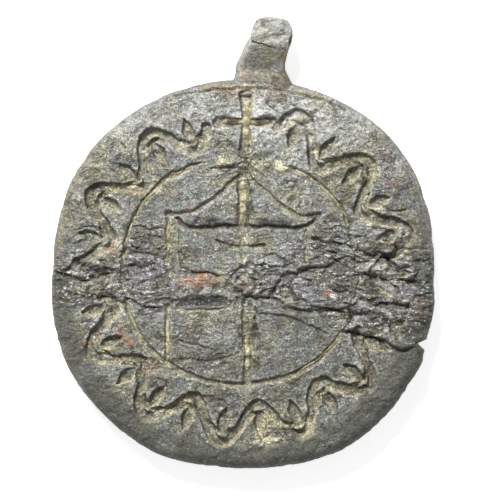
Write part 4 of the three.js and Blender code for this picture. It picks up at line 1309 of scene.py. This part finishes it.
def lead_material(name, grain):
    """Old lead: mottled greys under thin films, dirt in its hollows and cuts, painted shade and highlights on
    its cuts' walls, painted shade towards its foot and rim, and small painted glints.

    grain is how strongly the finest specks show, from 0 to 1.
    """
    tones = bpy.context.scene.lead_seal_tones
    bench = NodeBench(name)
    broad = bench.noise(5.0, 3)
    middle = bench.noise(1.2, 5, 0.6, 0.4)
    fine = bench.noise(0.3, 4, 0.7)
    grit = bench.noise(0.15, 2, 0.65, 0.8)
    fibres = bench.noise(0.3, 4, 0.75, 0.3, 2.4)
    # The lead's own greys, under thin films that differ from place to place
    mottle = bench.plus(bench.times(broad, 0.6), bench.times(middle, 0.4))
    greys = (0.34, tones.deep_grey), (0.5, tones.lead_grey), (0.66, tones.pale_grey)
    bench.colour = bench.ramp(mottle, *greys)
    bench.coat(tones.film_blue, bench.between(bench.noise(1.7, 3, 0.6), 0.5, 0.62), 0.55)
    bench.coat(tones.film_olive, bench.between(bench.noise(2.4, 4, 0.65), 0.46, 0.6), 0.7)
    sheen = bench.noise(0.8, 3, 0.65)
    sheen = bench.ramp(sheen, (0.38, (0.95, 1.03, 0.93)), (0.5, (1, 1, 1)), (0.62, (1.05, 0.98, 1.06)))
    bench.coat(sheen, 1.0, how="MULTIPLY")
    # Painted shade: the face darkens down and to the right, away from the key lamp
    bench.coat(tones.patina_and_shade, bench.patchy("shade", broad, 0.25, 0.55), 0.43)
    brown = bench.patchy("crushed", bench.noise(1.4, 4, 0.6), 0.4, 0.6)
    bench.coat(tones.brown, brown, 0.36)
    bench.coat(tones.film_mauve, bench.patchy("slab", middle, 0.35, 0.55), 0.65)
    neck_tone = bench.ramp(
        bench.noise(1.3, 2, 0.5), (0.36, tones.film_blue), (0.46, tones.film_olive), (0.54, tones.brown),
        (0.62, tones.film_green),
    )
    bench.coat(neck_tone, bench.stain("neck"), 0.6)
    # Paler places: partly worn lead, partly painted light
    pale = bench.patchy("pale", fine, 0.25, 0.6)
    bench.coat(tones.worn_and_lit_grey, pale)
    bench.coat(tones.film_green, bench.patchy("green", fine, 0.3, 0.6))
    # Dirt in the hollows, bare ridges, earth, crumbs and rust
    dirt = bench.between(bench.plus(bench.stain("hollow"), bench.times(fine, 0.1)), 0.07, 0.24)
    bench.coat(tones.dirt_brown, dirt, 0.38)
    ridge = bench.between(bench.less(bench.times(fine, 0.06), bench.stain("hollow")), 0.07, 0.18)
    bench.coat(tones.worn_and_lit_grey, ridge, 0.34)
    soil = bench.patchy("earth", bench.noise(0.8, 4, 0.7), 0.48, 0.58)
    earths = bench.noise(0.5, 4, 0.7)
    bench.coat(bench.ramp(earths, *earth_stops(tones, 0.38)), soil, 0.8)
    spots = bench.patchy("ochre", earths, 0.42, 0.58)
    bench.coat(bench.ramp(fine, (0.4, tones.earth_ochre), (0.6, tones.earth_pale)), spots)
    bench.coat(tones.earth_crumb, bench.patchy("crumb", bench.noise(0.35, 3, 0.7), 0.3, 0.5))
    rust = bench.patchy("rust", bench.noise(0.45, 4, 0.7), 0.34, 0.5)
    bench.coat(bench.ramp(fine, (0.35, tones.rust_red), (0.65, tones.rust_orange)), rust)
    # The walls of the cuts: a painted ochre highlight on the lower ones, which face the key lamp, painted
    # shadow in the soft dark places, and painted shade on the upper ones
    lit = bench.patchy("lit", bench.noise(0.9, 3, 0.6), 0.36, 0.5)
    bench.coat(bench.ramp(fine, (0.38, tones.lit_ochre), (0.6, tones.earth_crumb)), lit)
    bench.coat(tones.shadow_blue, bench.patchy("shadow", fine, 0.2, 0.45))
    wall = bench.patchy("wall", bench.noise(0.6, 3, 0.6), 0.27, 0.45)
    bench.coat(tones.crack_dark, wall, 0.85)
    bench.coat(tones.crack_dark, bench.patchy("split", bench.noise(0.8, 3, 0.6), 0.32, 0.55), 0.75)
    # Hair cracks: crinkles, long hairs, a net in the crushed skin, and a finer one where it is crazed
    creases = bench.lines(bench.noise(0.55, 3, 0.65, 0.5, 1.6))
    crinkled = bench.times(
        bench.between(creases, 0.04, 0.01), bench.between(bench.noise(1.5, 2, 0.5), 0.45, 0.6)
    )
    hairs = bench.lines(bench.noise(2.4, 4, 0.6, 0.6, 1.8))
    hairs = bench.times(bench.between(hairs, 0.05, 0.018), bench.between(bench.noise(2.6, 2, 0.5), 0.5, 0.58))
    net = bench.between(bench.crackle(0.9, 1.9), 0.09, 0.02)
    net = bench.times(net, bench.between(bench.noise(2.0, 2, 0.5), 0.42, 0.56))
    net = bench.times(net, bench.most(bench.stain("crushed"), 0.5))
    crazing = bench.times(bench.between(bench.crackle(0.6, 1.6), 0.12, 0.03), bench.stain("crazed"))
    fissure = bench.most(bench.times(crinkled, 0.5), hairs, net, bench.times(crazing, 0.8))
    bench.coat(tones.dirt_brown, fissure, 0.75)
    # The rim's painted shade over its dark patina, and the torn fibres of the band with their painted glints
    rim = bench.patchy("patina_and_shade", broad, 0.2, 0.45)
    bench.coat(tones.patina_and_shade, rim, 0.9)
    bench.coat(tones.crack_dark, bench.patchy("crushed", fibres, 0.5, 0.36), 0.42)
    bench.coat(tones.painted_glint, bench.patchy("crushed", fibres, 0.56, 0.65), 0.9)
    # The finest specks, fewer where the lead is paler and at the rim's painted shade, and small painted
    # glints
    quiet = bench.most(bench.times(pale, 0.75), bench.times(rim, 0.5))
    speckled = bench.times(bench.less(1.0, quiet), grain)
    specks = bench.grey_ramp(grit, (0.33, 0.3), (0.43, 0.86), (0.5, 1), (0.57, 1.14), (0.67, 2.1))
    bench.coat(specks, speckled, how="MULTIPLY")
    bench.coat(tones.painted_glint, bench.times(bench.between(bench.noise(0.15, 1, 0.5), 0.68, 0.74), speckled), 0.5)
    # Earth, dirt and rust are rougher than lead and less metallic
    matt = bench.most(bench.times(brown, 0.6), soil, dirt, spots, rust, wall, rim)
    roughness = bench.plus(bench.plus(bench.times(fine, 0.3), 0.32), bench.times(matt, 0.25))
    metallic = bench.less(0.5, bench.times(matt, 0.4))
    pits = bench.between(bench.noise(0.5, 2, 0.5), 0.28, 0.36)
    torn = bench.times(bench.stain("crushed"), fibres)
    large = (middle, 0.1), (pits, 0.05), (torn, 0.12)
    small = (fine, 0.07), (creases, 0.12), (fissure, -0.05), (grit, 0.04)
    return bench.finish(roughness, bench.bump(*large, *small), metallic)


def earth_material():
    """Dry earth in clods and grains, dark where it is damp."""
    tones = bpy.context.scene.lead_seal_tones
    bench = NodeBench("packed_earth")
    clods = bench.noise(0.7, 4, 0.65)
    grains = bench.noise(0.16, 3, 0.7)
    bench.colour = bench.ramp(clods, *earth_stops(tones, 0.36))
    dark = bench.between(bench.noise(0.4, 4, 0.7), 0.52, 0.64)
    bench.coat(tones.dirt_brown, bench.most(bench.times(dark, 0.6), bench.times(bench.stain("damp"), 0.93)))
    bench.coat(bench.grey_ramp(grains, (0.3, 0.5), (0.5, 1), (0.7, 1.35)), 1.0, how="MULTIPLY")
    return bench.finish(0.9, bench.bump((grains, 0.06)), specular=0.2)


class LeadSealSizes(bpy.types.PropertyGroup):
    plate_radius: FloatProperty(
        name="Plate Radius", description="Mean radius of the plate, in millimetres", default=18.38, min=10
    )
    face_cells: IntProperty(
        name="Face Cells", description="Cells across the engraved face", default=430, min=40, max=480
    )


def tone(name, description, default):
    limits = {"min": 0, "max": 1}
    return FloatVectorProperty(name=name, description=description, default=default, subtype="COLOR", **limits)


class LeadSealTones(bpy.types.PropertyGroup):
    deep_grey: tone("Deep Grey", "The darkest of the lead's own greys", (0.188, 0.19, 0.175))
    lead_grey: tone("Lead Grey", "The lead's middle grey", (0.28, 0.286, 0.264))
    pale_grey: tone("Pale Grey", "The palest of the lead's own greys", (0.385, 0.39, 0.362))
    # Also the painted light of the paler places
    worn_and_lit_grey: tone("Worn Grey", "Rubbed edges", (0.66, 0.665, 0.635))
    # Painted glints: bright specks over the face and in the torn band
    painted_glint: tone("Fleck", "The small bright flecks of bare metal", (0.85, 0.85, 0.82))
    # Also the painted shade of the lower face and the rim, away from the key lamp
    patina_and_shade: tone("Patina", "The smooth dark skin of the rim", (0.095, 0.095, 0.08))
    film_olive: tone("Olive Film", "The thin yellow-green film", (0.3, 0.285, 0.185))
    film_blue: tone("Blue Film", "The thin blue-grey film", (0.27, 0.29, 0.3))
    film_green: tone("Green Film", "The yellow-green stain at the rim", (0.3, 0.28, 0.12))
    film_mauve: tone("Mauve Film", "The blue-mauve skin of the torn slabs", (0.3, 0.29, 0.32))
    dirt_brown: tone("Dirt", "The dirt in the hollows", (0.085, 0.07, 0.05))
    rust_red: tone("Rust Red", "The dark of the rust spots", (0.3, 0.125, 0.065))
    rust_orange: tone("Rust Orange", "The light of the rust spots", (0.58, 0.35, 0.2))
    brown: tone("Brown", "The brown stain of the crushed band", (0.19, 0.155, 0.11))
    earth_ochre: tone("Ochre Earth", "The earth in the grooves", (0.42, 0.39, 0.24))
    earth_brown: tone("Brown Earth", "The dark of the earth", (0.25, 0.19, 0.1))
    earth_pale: tone("Pale Earth", "The light of the earth", (0.65, 0.62, 0.44))
    # Painted highlight: the ochre on the lower walls of the cuts, where they face the key lamp, mixed with
    # earth
    lit_ochre: tone("Lit Ochre", "The ochre film on the lower walls of the cuts", (0.6, 0.47, 0.2))
    earth_crumb: tone("Crumbs", "The pale yellow crumbs", (0.78, 0.73, 0.5))
    # Painted shadow: the colour of the soft dark places over the beam, in the bruise and beside the staff
    shadow_blue: tone(
        "Blue Shadow", "The blue-black film in the bruise and over the beam", (0.06, 0.065, 0.065)
    )
    # Also the painted shade on the upper walls and floors of the cuts
    crack_dark: tone("Crack", "The dark of the cracks", (0.03, 0.028, 0.024))


class LeadSealSetStage(bpy.types.Operator):
    """Lay the pale floor, hang the lamps and set the camera over the seal"""

    bl_idname = "lead_seal.set_stage"
    bl_label = "Set Stage"

    def execute(self, context):
        lay_floor()
        hang_lamps(context.scene)
        set_camera(context.scene)
        return {"FINISHED"}


FLOOR_SIZE = 4
FLOOR_COLOUR = (0.86, 0.86, 0.855)
# How brightly the floor glows towards the camera, so that it stays near white without lighting the seal
FLOOR_GLOW = 0.72


def lay_floor():
    bpy.ops.object.select_all(action="DESELECT")
    bpy.ops.mesh.primitive_plane_add(size=FLOOR_SIZE)
    floor = bpy.context.active_object
    floor.name = "pale_floor"
    bench = NodeBench("pale_floor")
    diffuse = bench.add("ShaderNodeBsdfDiffuse")
    bench.feed(diffuse, Color=opaque(FLOOR_COLOUR))
    glow = bench.add("ShaderNodeEmission")
    ray = bench.add("ShaderNodeLightPath").outputs
    seen = bench.most(ray["Is Camera Ray"], ray["Is Glossy Ray"], ray["Is Transmission Ray"])
    bench.feed(glow, Color=(1, 1, 1, 1), Strength=bench.times(seen, FLOOR_GLOW))
    both = bench.add("ShaderNodeAddShader")
    bench.feed_socket(both.inputs[0], diffuse.outputs["BSDF"])
    bench.feed_socket(both.inputs[1], glow.outputs["Emission"])
    output = bench.add("ShaderNodeOutputMaterial")
    bench.feed(output, Surface=both.outputs["Shader"])
    floor.data.materials.append(bench.material)


# The lamps: name, place in metres, size in metres and watts
LAMPS = (
    ("key_lamp", (-0.15, 0.36, 0.4), 0.13, 4.3),
    ("fill_lamp", (0.3, -0.35, 0.5), 0.5, 0.3),
)
SKY_STRENGTH = 0.26


def hang_lamps(scene):
    """Both lamps look at the middle of the plate, under an even white sky."""
    for name, place, size, watts in LAMPS:
        data = bpy.data.lights.new(name, "AREA")
        data.size = size
        data.energy = watts
        lamp = bpy.data.objects.new(name, data)
        scene.collection.objects.link(lamp)
        lamp.location = place
        lamp.rotation_euler = (-lamp.location).to_track_quat("-Z", "Y").to_euler()
    world = bpy.data.worlds.new("studio")
    world.use_nodes = True
    sky = world.node_tree.nodes["Background"].inputs
    sky["Color"].default_value = (1, 1, 1, 1)
    sky["Strength"].default_value = SKY_STRENGTH
    scene.world = world
    scene.view_settings.view_transform = "Standard"


# The photograph's frame: 486 by 500 pixels, with the middle of the plate at this pixel
FRAME_WIDTH, FRAME_HEIGHT = 486, 500
PLATE_PIXEL = (244.5, 277.0)
MM_PER_PIXEL = 36 / 384
LENS = 200
SENSOR = 36
SHARP_HEIGHT = 2.5


def set_camera(scene):
    """A long lens straight above the plate, framed as in the photograph."""
    data = bpy.data.cameras.new("camera")
    data.lens = LENS
    data.sensor_width = SENSOR
    camera = bpy.data.objects.new("camera", data)
    scene.collection.objects.link(camera)
    distance = LENS / SENSOR * FRAME_HEIGHT * MM_PER_PIXEL
    x = (FRAME_WIDTH / 2 - PLATE_PIXEL[0]) * MM_PER_PIXEL
    y = (PLATE_PIXEL[1] - FRAME_HEIGHT / 2) * MM_PER_PIXEL
    camera.location = (x * MM, y * MM, (SHARP_HEIGHT + distance) * MM)
    scene.camera = camera


class LeadSealPanel(bpy.types.Panel):
    """The steps of making the seal"""

    bl_idname = "VIEW3D_PT_lead_seal"
    bl_label = "Lead Seal"
    bl_space_type = "VIEW_3D"
    bl_region_type = "UI"
    bl_category = "Lead Seal"

    def draw(self, context):
        for step in STEPS:
            self.layout.operator(step.bl_idname)


STEPS = (LeadSealCastPlate, LeadSealFoldLoop, LeadSealPackEarth, LeadSealSetStage)
CLASSES = (LeadSealSizes, LeadSealTones, *STEPS, LeadSealPanel)


def register():
    for cls in CLASSES:
        bpy.utils.register_class(cls)
    bpy.types.Scene.lead_seal_sizes = PointerProperty(type=LeadSealSizes)
    bpy.types.Scene.lead_seal_tones = PointerProperty(type=LeadSealTones)


def unregister():
    del bpy.types.Scene.lead_seal_tones
    del bpy.types.Scene.lead_seal_sizes
    for cls in reversed(CLASSES):
        bpy.utils.unregister_class(cls)


def main():
    register()
    bpy.ops.lead_seal.cast_plate()
    bpy.ops.lead_seal.fold_loop()
    bpy.ops.lead_seal.pack_earth()
    bpy.ops.lead_seal.set_stage()
    bpy.context.view_layer.update()


if __name__ == "__main__":
    main()
